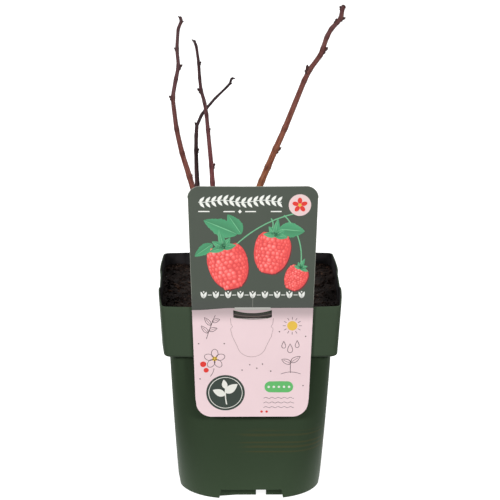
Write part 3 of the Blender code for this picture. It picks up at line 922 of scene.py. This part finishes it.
def label_point(across, up, lift):
    """The place on the label for a spot on its flat print: mm across, up from the fold, and off
    the face. The sheet stands upright above the fold, follows the collar's draft below it, comes
    forward a little at the fold, and bows back at its top corners."""
    back = FOLD_RIDGE * (1 - exp(-(up / FOLD_SPREAD) ** 2)) - lift
    if up > 0:
        back += TOP_BOW * (across / 50) ** 2 * (up / LABEL_ABOVE) ** 1.6
        return Vector((LABEL_MIDDLE + across * MM, LABEL_FACE + back * MM, POT_TOP + up * MM))
    down = -up * MM
    return Vector((LABEL_MIDDLE + across * MM,
                   LABEL_FACE + down * sin(LABEL_DRAFT) + back * MM * cos(LABEL_DRAFT),
                   POT_TOP - down * cos(LABEL_DRAFT) + back * MM * sin(LABEL_DRAFT)))


def half_width(up):
    """Half of the label's width at a height, as it narrows downwards"""
    share = (up + LABEL_BELOW) / (LABEL_ABOVE + LABEL_BELOW)
    return (LABEL_BOTTOM_WIDTH + (LABEL_TOP_WIDTH - LABEL_BOTTOM_WIDTH) * share) / 2


def cut_through(bm, point, normal, trim=False):
    """Cuts a flat sheet along a line, and with trim takes off what lies beyond it"""
    geom = bm.verts[:] + bm.edges[:] + bm.faces[:]
    bmesh.ops.bisect_plane(bm, geom=geom, dist=1e-5, plane_co=(*point, 0),
                           plane_no=(*normal, 0), clear_outer=trim)


def round_corners(bm, up, radius, sign):
    """Trims the two corners at one end of the sheet to arcs"""
    reach = half_width(up)
    for side in (-1, 1):
        centre = Vector((side * (reach - radius), up - sign * radius))
        for step in range(1, ARC_CUTS):
            angle = step * pi / 2 / ARC_CUTS
            out = Vector((side * cos(angle), sign * sin(angle)))
            cut_through(bm, centre + out * radius, out, True)


def sheet_blank():
    """The label's outline as a flat sheet in mm, ruled into small faces, with its slot"""
    bm = bmesh.new()
    corners = [(-BLANK_HALF, -LABEL_BELOW, 0), (BLANK_HALF, -LABEL_BELOW, 0),
               (BLANK_HALF, LABEL_ABOVE, 0), (-BLANK_HALF, LABEL_ABOVE, 0)]
    bm.faces.new([bm.verts.new(corner) for corner in corners])
    slope = Vector((LABEL_ABOVE + LABEL_BELOW, -(LABEL_TOP_WIDTH - LABEL_BOTTOM_WIDTH) / 2))
    for side in (-1, 1):
        cut_through(bm, (side * half_width(0), 0), (side * slope.x, slope.y), True)
    round_corners(bm, LABEL_ABOVE, LABEL_TOP_RADIUS, 1)
    round_corners(bm, -LABEL_BELOW, LABEL_BOTTOM_RADIUS, -1)
    rows = [y for y in levels(-88, 96, 47) if abs(y) > FOLD_ZONE]
    rows += [k * ROW_STEP for k in range(-13, 14)] + [SLOT_TOP, SLOT_FOOT]
    for y in sorted(rows):
        cut_through(bm, (0, y), (0, 1))
    columns = [k * COLUMN_STEP for k in range(-12, 13)]
    for x in columns + [k * SLOT_COLUMN_STEP for k in range(-9, 10)]:
        cut_through(bm, (x, 0), (1, 0))
    middles = [(face, face.calc_center_median()) for face in bm.faces]
    bmesh.ops.delete(bm, context="FACES", geom=[
        face for face, middle in middles
        if abs(middle.x) < SLOT_HALF and SLOT_FOOT < middle.y < SLOT_TOP])
    for face in bm.faces:
        face.material_index = int(face.calc_center_median().y < 0)
    for vert in bm.verts:
        across, up, _ = vert.co
        if abs(across) < SLOT_HALF:
            bow = 1 - (across / SLOT_HALF) ** 2
            if SLOT_TOP - 1e-3 < up < -1e-3:
                vert.co.y -= SLOT_LIP * bow * up / SLOT_TOP
            elif abs(up - SLOT_FOOT) < 1e-3:
                vert.co.y -= SLOT_SAG * bow
        else:
            slant = EDGE_SLANT * smooth((-across - SLOT_HALF) / 30)
            vert.co.y -= slant * exp(-(up / 3.0) ** 2)
    return bm


def lay_on_label(bm):
    """Bends a flat print, drawn in mm, on to the hanging label"""
    for vert in bm.verts:
        vert.co = label_point(*vert.co)


def printed_plastic(name, colour, sheen):
    """Printed semi-gloss sheet: one ink with the faintest unevenness, a slight orange peel, and
    painted shade along the fold
    """
    material, shader, place = material_nodes(name)
    uneven = speckle(place, 30, 4)
    peel = speckle(place, 900, 2)
    darker = rgb(*(0.90 * part for part in colour))
    # Painted shade: within about 13 mm of the fold's height the colour is blended towards a darker,
    # greyer tone, standing for the shade of the rounded fold.
    fold_shade_colour = rgb(*(0.35 * part + 0.04 for part in colour))
    from_fold = coordinate(place, 2) - POT_TOP
    fold_shade_mask = ranged(from_fold.maths("ABSOLUTE", from_fold), 0.0135, 0.0024, 0.0, 0.68)
    tone = blended(fold_shade_mask, blended(uneven, darker, rgb(*colour)), fold_shade_colour)
    place.feed(shader, {"Base Color": tone, "Specular IOR Level": 0.15,
                        "Roughness": sheen + uneven * 0.10, "Normal": bumped(peel, 0.05, 0.0002)})
    return material


GREEN_INK = printed_plastic("green_print", (0.072, 0.085, 0.068), 0.34)
PINK_INK = printed_plastic("pink_print", (0.840, 0.650, 0.675), 0.36)
BARE_SHEET = printed_plastic("bare_sheet", (0.70, 0.69, 0.64), 0.42)
CUT_EDGE = printed_plastic("cut_edge", (0.36, 0.36, 0.30), 0.50)


def thickened(bm, thickness):
    """Gives an upright sheet or film its thickness, straight back from its face"""
    backed = bmesh.ops.extrude_face_region(bm, geom=bm.faces[:])["geom"]
    verts = [part for part in backed if isinstance(part, bmesh.types.BMVert)]
    bmesh.ops.translate(bm, verts=verts, vec=(0, thickness, 0))
    face_outwards(bm)


def label_sheet():
    """The hanging sheet, printed on its face, bare behind, with pale cut edges"""
    bm = sheet_blank()
    lay_on_label(bm)
    thickened(bm, LABEL_BACK - LABEL_FACE - FOLD_RIDGE * MM)
    for face in bm.faces:
        if face.normal.y > -0.5:
            face.material_index = 2 if face.normal.y > 0.5 else 3
    piece("label_sheet", bm, [GREEN_INK, PINK_INK, BARE_SHEET, CUT_EDGE], ["label"])


label_sheet()

# The label's hanging tab: a strip of the same sheet behind the fold, bent over the rim and down
# inside the wall. Behind the bowed slot, a near-black strip with a paler rib stands for the tab
# seen through the slot: painted shade, with a painted highlight along the rib.
TAB_HALF = 14.0
TAB_THICKNESS = 0.0007
TAB_REACH = 0.0072
TAB_START = 0.0015
TAB_BEND = 0.0004
TAB_CORNER = 0.0002
STRIP_BACK = 0.00075
STRIP_MIDDLE = -5.4
STRIP_BOW = 1.9


def hanging_tab():
    """The bent strip, from the sheet's back over the rim to its end inside the pot"""
    inner = -(COLLAR_HALF + PILLOW - PANEL_DEPTH - WALL) + CLEAR
    over = POT_TOP + CLEAR
    slant = COLLAR_DRAFT * TAB_REACH / COLLAR_HEIGHT
    route = [(LABEL_BACK, POT_TOP - TAB_START), (LABEL_BACK, over - TAB_BEND)]
    route += [(LABEL_BACK + back, over - drop) for back, drop in rounding(TAB_BEND, 3)]
    route += [(inner - TAB_CORNER, over), (inner, over - TAB_CORNER),
              (inner + slant, POT_TOP - TAB_REACH)]
    across = [LABEL_MIDDLE + x * MM for x in levels(-TAB_HALF, TAB_HALF, 9)]
    bm = bmesh.new()
    lofted(bm, [[Vector((x, y, z)) for x in across] for y, z in route], closed=False)
    face_outwards(bm)
    if max(bm.faces, key=lambda face: face.calc_center_median().z).normal.z < 0:
        bmesh.ops.reverse_faces(bm, faces=bm.faces)
    bmesh.ops.solidify(bm, geom=bm.faces[:], thickness=-TAB_THICKNESS)
    face_outwards(bm)
    piece("label_tab", bm, [BARE_SHEET])


def slot_strip():
    """A near-black strip bowed like the slot, painted shade for the slot, with a paler rib of
    painted highlight
    """
    bm = bmesh.new()
    for finish, reach, forward in ((0, 1.9, 0.22), (1, 0.42, 0.30)):
        rings = []
        for x in levels(-SLOT_HALF - 0.5, SLOT_HALF + 0.5, 25):
            bow = STRIP_BOW * (1 - (x / SLOT_HALF) ** 2)
            middle = label_point(x, STRIP_MIDDLE - bow, 0) + Vector((0, STRIP_BACK, 0))
            rings.append([middle + Vector((0, -forward * cos(angle), reach * sin(angle))) * MM
                          for angle in levels(0, 2 * pi, 9)[:-1]])
        first = len(bm.faces)
        capped(bm, rings)
        for face in bm.faces[first:]:
            face.material_index = finish
    face_outwards(bm)
    # Painted shade and painted highlight: the strip is near-black and its rib a paler brown.
    piece("slot_strip", bm, [printed_plastic("slot_painted_shade", (0.026, 0.017, 0.015), 0.5),
                             printed_plastic("slot_painted_highlight", (0.150, 0.115, 0.100), 0.5)])


hanging_tab()
slot_strip()

# The print: a plain fruit and leaf design in flat inks, drawn in mm from the middle of the fold.
# Whole berries, leaves and a pale garland lie on the green; line drawings, a round dark patch
# and a light green bar lie on the pink, with the scored outline of the tongue above them.
INK_DEPTH = 0.03
FINE_LINE = 0.42
SCORE_LINE = 0.36
SHINE = 0.36
FLAT_TONE = (0.5, 0.5)
GARLAND_UP = 86.2
RULE_UP = 78.0
SUN = (31, -15)
FLOWER = (-29.5, -43)
PATCH = (-21, -72)
BAR = (21, -67)
TAG = (36, 83)
printing = random.Random(5)


def spot_on(place, reach, turn):
    """The placing matrix of a shape one unit in radius: its place and layer, size and turn"""
    across, up, layer = place
    return (Matrix.Translation((across, up, layer * INK)) @ Matrix.Rotation(radians(turn), 4, "Z")
            @ Matrix.Diagonal((reach[0], reach[1], 1, 1)))


def oval(bm, place, reach, turn, sides):
    """A filled oval of ink"""
    return bmesh.ops.create_circle(bm, cap_ends=True, segments=sides, radius=1,
                                   matrix=spot_on(place, reach, turn))["verts"]


def dot(bm, centre, layer, radius, sides):
    """A filled round of ink"""
    return oval(bm, (*centre, layer), (radius, radius), 0, sides)


def around(centre, reach, angle):
    """The spot at a distance from a centre, by its angle in degrees"""
    return Vector(centre) + reach * Vector((cos(radians(angle)), sin(radians(angle))))


def stroke(bm, path, layer, width=FINE_LINE):
    """A line of ink along a path of (across, up) points"""
    path = [Vector(point) for point in path]
    rows = []
    for index, point in enumerate(path):
        ahead = path[min(index + 1, len(path) - 1)] - path[max(index - 1, 0)]
        side = Vector((-ahead.y, ahead.x)).normalized() * width / 2
        rows.append([Vector((*spot, layer * INK)) for spot in (point + side, point - side)])
    lofted(bm, rows, closed=False)


def bend(start, control, end):
    """Points along a line that leaves start and reaches end, drawn towards a control point"""
    return smooth_curve(Vector(start), Vector(control), Vector(end), 12)


def loop(centre, reach, turn=0, first=0, last=360, steps=28):
    """Points round an oval, or round part of it, in degrees"""
    spin = Matrix.Rotation(radians(turn), 2)
    angles = [radians(angle) for angle in levels(first, last, steps)]
    return [Vector(centre) + spin @ Vector((reach[0] * cos(angle), reach[1] * sin(angle)))
            for angle in angles]


def leaf_edge(share, teeth):
    """A leaf's half width along its length, as a share, with teeth along its edge"""
    body = sin(pi * min(1.0, share) ** 0.78) ** 0.85 if 0 < share < 1 else 0.0
    return body * (1 - 0.16 * (share * teeth % 1.0))


def leaf_side(root, tip, width):
    """From a leaf's rib to its edge where it is widest"""
    way = tip - root
    return Vector((-way.y, way.x)).normalized() * width / 2


def shade_of(bm):
    """The tone that a picture keeps at each of its points"""
    return bm.verts.layers.float.get("shade") or bm.verts.layers.float.new("shade")


def leaf(bm, root, tip, width, layer, teeth, tones, steps):
    """A filled leaf from its stalk to its tip, lighter along its rib"""
    shade = shade_of(bm)
    root, tip = Vector(root), Vector(tip)
    side = leaf_side(root, tip, width)
    low, high = tones
    rows = []
    for share in levels(0.01, 0.99, steps):
        middle = root.lerp(tip, share)
        edge = leaf_edge(share, teeth)
        rows.append([Vector((*(middle + side * edge * reach), layer * INK))
                     for reach in (1, 0.09, 0, -0.09, -1)])
    for row in lofted(bm, rows, closed=False):
        for vert, tone in zip(row, (low + 0.3, low + 0.12, high, low, low + 0.2)):
            vert[shade] = tone


def leaf_outline(bm, root, tip, width):
    """A leaf drawn as a line, with its rib"""
    root, tip = Vector(root), Vector(tip)
    side = leaf_side(root, tip, width)
    for sign in (1, -1):
        stroke(bm, [root.lerp(tip, share) + side * sign * leaf_edge(share, 0)
                    for share in levels(0, 1, 14)], 1)
    stroke(bm, [root, root.lerp(tip, 0.8)], 1, FINE_LINE * 0.7)


def berry_half(share, width):
    """Half of a berry's width, from its shoulder at share 0 to its tip at share 1"""
    lean = (share - 0.36) / 0.64 if share > 0.36 else (0.36 - share) / 0.46
    return width / 2 * math.sqrt(max(0.0, 1 - abs(lean) ** 2.3))


def berry(bm, centre, length, width, turn):
    """A ripe berry: its shadow, its red body, and rows of round drupelets over them"""
    shade = shade_of(bm)
    centre = Vector(centre)
    spin = Matrix.Rotation(radians(turn), 2)
    for layer, tone, shift in ((1, 0.0, Vector((0.6, -1.0))), (2, 0.30, Vector((0, 0)))):
        rows = []
        for share in levels(0.0, 0.985, 21):
            half = berry_half(share, width)
            spots = [Vector((side * half, length * (0.5 - share))) for side in (-1, 0, 1)]
            rows.append([Vector((*(centre + shift + spin @ spot), layer * INK))
                         for spot in spots])
        for row in lofted(bm, rows, closed=False):
            for vert in row:
                vert[shade] = tone
    size = width / 7.4
    count = round(length / (0.76 * size))
    for index in range(count):
        share = 0.02 + 0.93 * (index + 0.5) / count
        across = max(berry_half(share, width) - 0.3 * size, 0.3 * size)
        steps = max(1, round(pi * across / size))
        for step in range(steps):
            swing = pi * (step + 0.5 - 0.5 * steps + (0.25 if index % 2 else -0.25)) / steps
            if abs(swing) > 1.42:
                continue
            drift = Vector((printing.uniform(-1, 1), printing.uniform(-1, 1))) * 0.16 * size
            middle = centre + spin @ Vector((across * sin(swing), length * (0.5 - share))) + drift
            grown = printing.uniform(0.46, 0.60) * size
            glow = (0.70 + 0.30 * cos(swing + 0.4)) * printing.uniform(0.66, 1.0)
            layer = 3 + 0.5 * (index % 2) + 0.25 * (step % 2)
            seat = spot_on((*middle, layer), (grown * max(0.5, cos(swing)), grown), turn)
            fan = bmesh.ops.create_circle(bm, cap_ends=True, cap_tris=True, segments=10, radius=1,
                                          matrix=seat)
            for vert in fan["verts"]:
                if (vert.co.xy - middle).length < 0.1 * size:
                    vert[shade] = glow
                    vert.co.x -= 0.16 * size
                    vert.co.y += 0.18 * size
                else:
                    vert[shade] = 0.42 * glow


def ink(name, bm, material):
    """Lays a drawing on the label as a thin film of one ink"""
    lay_on_label(bm)
    thickened(bm, INK_DEPTH * MM)
    piece(name, bm, [material])


def flat_ink(name, bm, finish, colour, sheen=SHINE):
    """Lays a drawing on the label in one flat colour"""
    ink(name, bm, printed_plastic(finish, colour, sheen))


def shaded_ink(name, stops):
    """A printed picture's ink: its tones follow the shade drawn into the mesh"""
    material, shader, place = material_nodes(name)
    shade = kept_value(place, "shade")
    dots = speckle(place, 1400, 2)
    tone = shade.node("ValToRGB", {"stops": stops}, {0: shade + (dots - 0.5) * 0.18})
    place.feed(shader, {"Base Color": tone, "Roughness": 0.33 + dots * 0.08})
    return material


BERRIES = [(-18.5, 33, 36, 31, 14), (14.5, 44, 33, 28, -10), (33.0, 24.0, 20, 17.5, -24)]
LEAVES = [((-12, 60), (-38, 71), 15), ((-9, 60), (-19.5, 75.8), 11.5), ((20, 64), (40, 62), 13),
          ((-31, 52), (-45, 42), 9)]
STALKS = [((31, 76), (6, 70), (-13.5, 51)), ((14, 72.5), (18, 66), (11.5, 60)),
          ((24, 75), (40, 58), (37, 33.5))]


def fruit_picture():
    """Three whole berries hanging from a sprig among toothed leaves"""
    berries = bmesh.new()
    leaves = bmesh.new()
    for across, up, length, width, turn in BERRIES:
        berry(berries, (across, up), length, width, turn)
        spin = Matrix.Rotation(radians(turn), 2)
        crown = Vector((across, up)) + spin @ Vector((0, 0.47 * length))
        for angle in (-78, -42, 0, 40, 80):
            reach = width * (0.40 + 0.08 * cos(3 * radians(angle)))
            way = Matrix.Rotation(radians(turn + angle), 2) @ Vector((0, reach))
            fall = Vector((0, -0.10 * width * abs(sin(radians(angle)))))
            leaf(leaves, crown - way * 0.12, crown + way + fall, width * 0.17, 4, 0, (0.35, 1.0), 9)
    for root, tip, width in LEAVES:
        leaf(leaves, root, tip, width, 3, 9, (0.25, 0.9), 22)
    for stalk in STALKS:
        stroke(leaves, bend(*stalk), 2, 0.9)
    shade = shade_of(leaves)
    for vert in leaves.verts:
        if vert[shade] == 0.0:
            vert[shade] = 0.7
    ink("print_berries", berries, shaded_ink("berry_ink", [
        (0.0, (0.100, 0.006, 0.010)), (0.2, (0.62, 0.038, 0.040)), (0.5, (0.84, 0.095, 0.085)),
        (1.0, (0.92, 0.360, 0.340))]))
    ink("print_leaves", leaves, shaded_ink("leaf_ink", [
        (0.0, (0.020, 0.110, 0.045)), (0.5, (0.050, 0.290, 0.130)), (1.0, (0.260, 0.600, 0.340))]))


def garland_height(x):
    """How far above the fold the garland runs"""
    return GARLAND_UP + 0.9 * sin(x / 5)


def pale_print():
    """A garland and rules at the top of the green, and a row of small leaves near the fold"""
    bm = bmesh.new()
    stroke(bm, [(x, garland_height(x)) for x in levels(-42, 22, 40)], 1, 0.55)
    for index in range(14):
        x = -41 + 4.6 * index
        y = garland_height(x)
        for rise in (4.3, -4.3):
            leaf(bm, (x, y), (x + 3.7, y + rise), 2.3, 1, 0, FLAT_TONE, 9)
    for start, end in ((-42, -14), (-6, 22)):
        stroke(bm, [(start, RULE_UP), (end, RULE_UP)], 1, 0.9)
    dot(bm, (-10, RULE_UP), 1, 1.5, 4)
    for x in levels(-38, 38, 9):
        for lean in (-2.3, 2.3):
            leaf(bm, (x, 8.0), (x + lean, 13.4), 2.2, 1, 0, FLAT_TONE, 9)
        dot(bm, (x, 13.2), 1, 0.6, 12)
    for x in levels(-33.25, 33.25, 8):
        stroke(bm, [(x - 1.6, 10.6), (x + 1.6, 10.6)], 1, 0.6)
    flat_ink("print_pale", bm, "pale_ink", (0.84, 0.85, 0.80))


def sheet_edge_and_crease_highlight():
    """The bare margin left by the die round the green, and a painted highlight for a crease over
    the slot
    """
    inset = 0.15
    reach = half_width(LABEL_ABOVE) - LABEL_TOP_RADIUS
    rise = LABEL_ABOVE - LABEL_TOP_RADIUS
    arc = (LABEL_TOP_RADIUS - inset, LABEL_TOP_RADIUS - inset)
    bm = bmesh.new()
    side = [(half_width(up) - inset, up) for up in levels(1.5, rise, 24)]
    across = [(x, LABEL_ABOVE - inset) for x in levels(-reach, reach, 24)]
    stroke(bm, [(-x, up) for x, up in side] + loop((-reach, rise), arc, 0, 176, 94, 12) + across
           + loop((reach, rise), arc, 0, 86, 4, 12) + side[::-1], 1, 0.30)
    # Painted highlight: a short pale line above the slot stands for the light caught by a crease in
    # the sheet.
    stroke(bm, [(0.1, up) for up in levels(0.8, 7.4, 8)], 1, 0.45)
    flat_ink("sheet_edge_and_crease_highlight", bm, "bare_margin_and_crease_highlight", (0.27, 0.28, 0.24), 0.45)


FIVE_PETALS = [90 + 72 * index for index in range(5)]
SPRIG_LEAVES = [((-34.6, -21), (-40, -15)), ((-34.0, -19), (-27.5, -17)),
                ((-32.4, -14.5), (-37.5, -8)), ((-31.4, -11.5), (-25.5, -9.5))]
DROPS = [(24.5, -31, 2.2), (29.5, -34, 2.8), (35.0, -30.5, 2.2)]
DARK_DOTS = [(-42, -30), (-22, -30), (-41, -60), (41.5, -24), (21, -20), (40, -66), (-2, -48),
             (3.5, -51), (8, -47.5), (14.5, -53.5), (-8, -52.5)]
TONGUE_SIDE = [(16.8, -8.6), (16.2, -13.5), (15.0, -15.6), (16.6, -17.6), (15.2, -24), (11.0, -33)]


def line_print():
    """Fine dark drawings on the pink: a sprig, a flower, a sun's rays, drops, a sprout, dots"""
    bm = bmesh.new()
    stroke(bm, bend((-36, -26), (-33, -16), (-29, -6)), 1)
    for root, tip in SPRIG_LEAVES:
        leaf_outline(bm, root, tip, 3.2)
    for angle in FIVE_PETALS:
        stroke(bm, loop(around(FLOWER, 4.6, angle), (3.7, 2.6), angle), 1)
    stroke(bm, bend((-30, -51), (-30.5, -55), (-33, -58)), 1)
    for angle in range(0, 360, 30):
        stroke(bm, [around(SUN, 5.2, angle), around(SUN, 7.4, angle)], 1)
    for x, y, size in DROPS:
        drop = [Vector((x, y)) + size * Vector((sin(a) * sin(a / 2) ** 1.4, cos(a) * 1.35))
                for a in levels(0, 2 * pi, 20)]
        stroke(bm, drop, 1)
    stroke(bm, bend((30, -55), (29.5, -49), (30.5, -44)), 1)
    leaf_outline(bm, (30.2, -46), (37.5, -41), 4.0)
    leaf_outline(bm, (30.2, -47), (23.0, -43.5), 4.0)
    stroke(bm, bend((22.5, -56), (30, -52.5), (38, -56)), 1)
    for y in (-76.5, -80.5, -84.5):
        stroke(bm, [(x, y + 0.45 * sin(x * 1.3)) for x in levels(9, 33, 50)], 1, 0.34)
    for centre in DARK_DOTS:
        dot(bm, centre, 1, 0.55, 12)
    flat_ink("print_lines", bm, "dark_ink", (0.105, 0.070, 0.078), 0.38)


def score_lines():
    """The tongue's scored outline below the slot, wider at the top and round at its foot"""
    bm = bmesh.new()
    for sign in (-1, 1):
        stroke(bm, [(sign * x - 0.5, y) for x, y in TONGUE_SIDE], 1, SCORE_LINE)
    stroke(bm, loop((-0.5, -30.5), (11.4, 10.8), 0, 193, 347, 22), 1, SCORE_LINE)
    flat_ink("print_score", bm, "score_line", (0.42, 0.31, 0.32), 0.5)


def patch_print():
    """A round dark patch with a pale pair of leaves, and a light green bar with pale dots"""
    patch = bmesh.new()
    dot(patch, PATCH, 1, 15.2, 48)
    flat_ink("print_patch", patch, "deep_green_ink", (0.042, 0.056, 0.047))
    bar = bmesh.new()
    for vert in dot(bar, BAR, 1, 4.8, 32):
        vert.co.x += math.copysign(6.5, vert.co.x - BAR[0])
    flat_ink("print_bar", bar, "light_green_ink", (0.130, 0.480, 0.150))
    bm = bmesh.new()
    stroke(bm, loop(PATCH, (13.2, 13.2), 0, 0, 360, 48), 2, 0.5)
    stroke(bm, bend((-20, -82), (-21.5, -76), (-21, -68)), 2, 0.9)
    for root, tip, width, steps in [((-21, -72), (-11.6, -64.5), 6.6, 14),
                                    ((-21.3, -74), (-31, -69.5), 6.0, 14),
                                    ((-21, -68.5), (-22.5, -60.6), 4.4, 12)]:
        leaf(bm, root, tip, width, 3, 0, FLAT_TONE, steps)
    for x in range(13, 30, 4):
        dot(bm, (x, BAR[1]), 2, 1.0, 14)
    flat_ink("print_patch_leaves", bm, "paper_ink", (0.80, 0.80, 0.74))


def accent_print():
    """A pink tag with a red flower on the green, and small yellow and red spots on the pink"""
    tag = bmesh.new()
    dot(tag, TAG, 1, 8.6, 40)
    flat_ink("print_tag", tag, "pale_pink_ink", (0.80, 0.60, 0.59))
    red = bmesh.new()
    for angle in FIVE_PETALS:
        oval(red, (*around(TAG, 3.5, angle), 2), (2.5, 1.7), angle, 16)
    for x, y, radius in [(-38.5, -47.5, 2.4), (-36.2, -52.6, 2.0), (7.5, -88.3, 1.0),
                         (11.5, -88.3, 1.0)]:
        dot(red, (x, y), 2, radius, 18)
    flat_ink("print_red", red, "red_ink", (0.72, 0.050, 0.040))
    yellow = bmesh.new()
    dot(yellow, SUN, 1, 4.0, 24)
    dot(yellow, FLOWER, 1, 2.0, 18)
    dot(yellow, TAG, 3, 1.3, 14)
    flat_ink("print_yellow", yellow, "yellow_ink", (0.80, 0.52, 0.08))


fruit_picture()
pale_print()
sheet_edge_and_crease_highlight()
line_print()
score_lines()
patch_print()
accent_print()

# The studio: a wide white floor, lit by soft boxes at the front left and front right, a low one
# in front and two behind. A round glow on the floor lights the pot's foot from below.
CAMERA_AWAY = 1.9
CAMERA_DOWN = radians(17.25)
CAMERA_TURN = radians(-1.0)
CAMERA_ROLL = radians(0.21)
CAMERA_AIM = (0.0003, 0.0, 0.1915)
SENSOR = 36.0
FOCAL_PIXELS = 2365.0
FRAME_PIXELS = 500.0
LIGHT_AIM = Vector((0, 0, 0.18))
SOFT_BOXES = [("left_light", (-1.42, -1.35, 1.0), 0.40, 0.45, 37.6),
              ("right_light", (1.42, -1.35, 1.0), 0.40, 0.45, 32.2),
              ("low_light", (0.0, -1.7, 0.12), 0.9, 0.2, 2),
              ("back_left_light", (-1.2, 1.6, 1.2), 0.8, 1.0, 25),
              ("back_right_light", (1.2, 1.6, 1.2), 0.8, 1.0, 25)]
GLOW_WIDTH = 0.24
GLOW_HEIGHT = 0.0004
GLOW_POWER = 0.145
FLOOR_RADIUS = 4.0
FLOOR_GLOW = 0.92
ROOM_GLOW = 0.04
WHITE = rgb(1, 1, 1)


def camera():
    """The photographer's long lens, looking slightly down"""
    data = bpy.data.cameras.new("camera")
    data.sensor_width = SENSOR
    data.lens = FOCAL_PIXELS * SENSOR / FRAME_PIXELS
    data.clip_start = 0.1
    thing = set_down("camera", data)
    thing.matrix_world = (Matrix.Translation(CAMERA_AIM) @ Matrix.Rotation(CAMERA_TURN, 4, "Z")
                          @ Matrix.Rotation(pi / 2 - CAMERA_DOWN, 4, "X")
                          @ Matrix.Translation((0, 0, CAMERA_AWAY))
                          @ Matrix.Rotation(CAMERA_ROLL, 4, "Z"))
    bpy.context.scene.camera = thing


def soft_light(name, shape, width, height, power, stance):
    """A flat light of a shape and size, in its place"""
    data = bpy.data.lights.new(name, "AREA")
    data.shape = shape
    data.size = width
    data.size_y = height
    data.energy = power
    light = set_down(name, data)
    light.matrix_world = stance
    return light


def lights():
    """The soft boxes, aimed at the middle of the plant, and the glow, strongest near the foot"""
    for name, place, width, height, power in SOFT_BOXES:
        stance = Matrix.Translation(place) @ aimed(LIGHT_AIM - Vector(place), "-Z")
        soft_light(name, "RECTANGLE", width, height, power, stance)
    upwards = Matrix.Translation((0, 0, GLOW_HEIGHT)) @ Matrix.Rotation(pi, 4, "X")
    glow = soft_light("foot_glow", "DISK", GLOW_WIDTH, GLOW_WIDTH, GLOW_POWER, upwards)
    glow.visible_camera = False


def sweep():
    """A wide white floor"""
    bm = bmesh.new()
    bmesh.ops.create_circle(bm, cap_ends=True, segments=64, radius=FLOOR_RADIUS)
    mesh = finished_mesh("sweep", bm)
    material, shader, place = material_nodes("white_sweep")
    place.feed(shader, {"Base Color": rgb(0.35, 0.35, 0.35), "Roughness": 0.9,
                        "Emission Color": WHITE, "Emission Strength": FLOOR_GLOW})
    mesh.materials.append(material)
    floor = set_down("sweep", mesh)
    floor.visible_diffuse = False


def room_light():
    """Even white light from all round"""
    world = bpy.data.worlds.new("room")
    world.use_nodes = True
    background = world.node_tree.nodes["Background"].inputs
    background["Color"].default_value = WHITE
    background["Strength"].default_value = ROOM_GLOW
    bpy.context.scene.world = world


camera()
lights()
sweep()
room_light()
bpy.context.scene.view_settings.view_transform = "Standard"
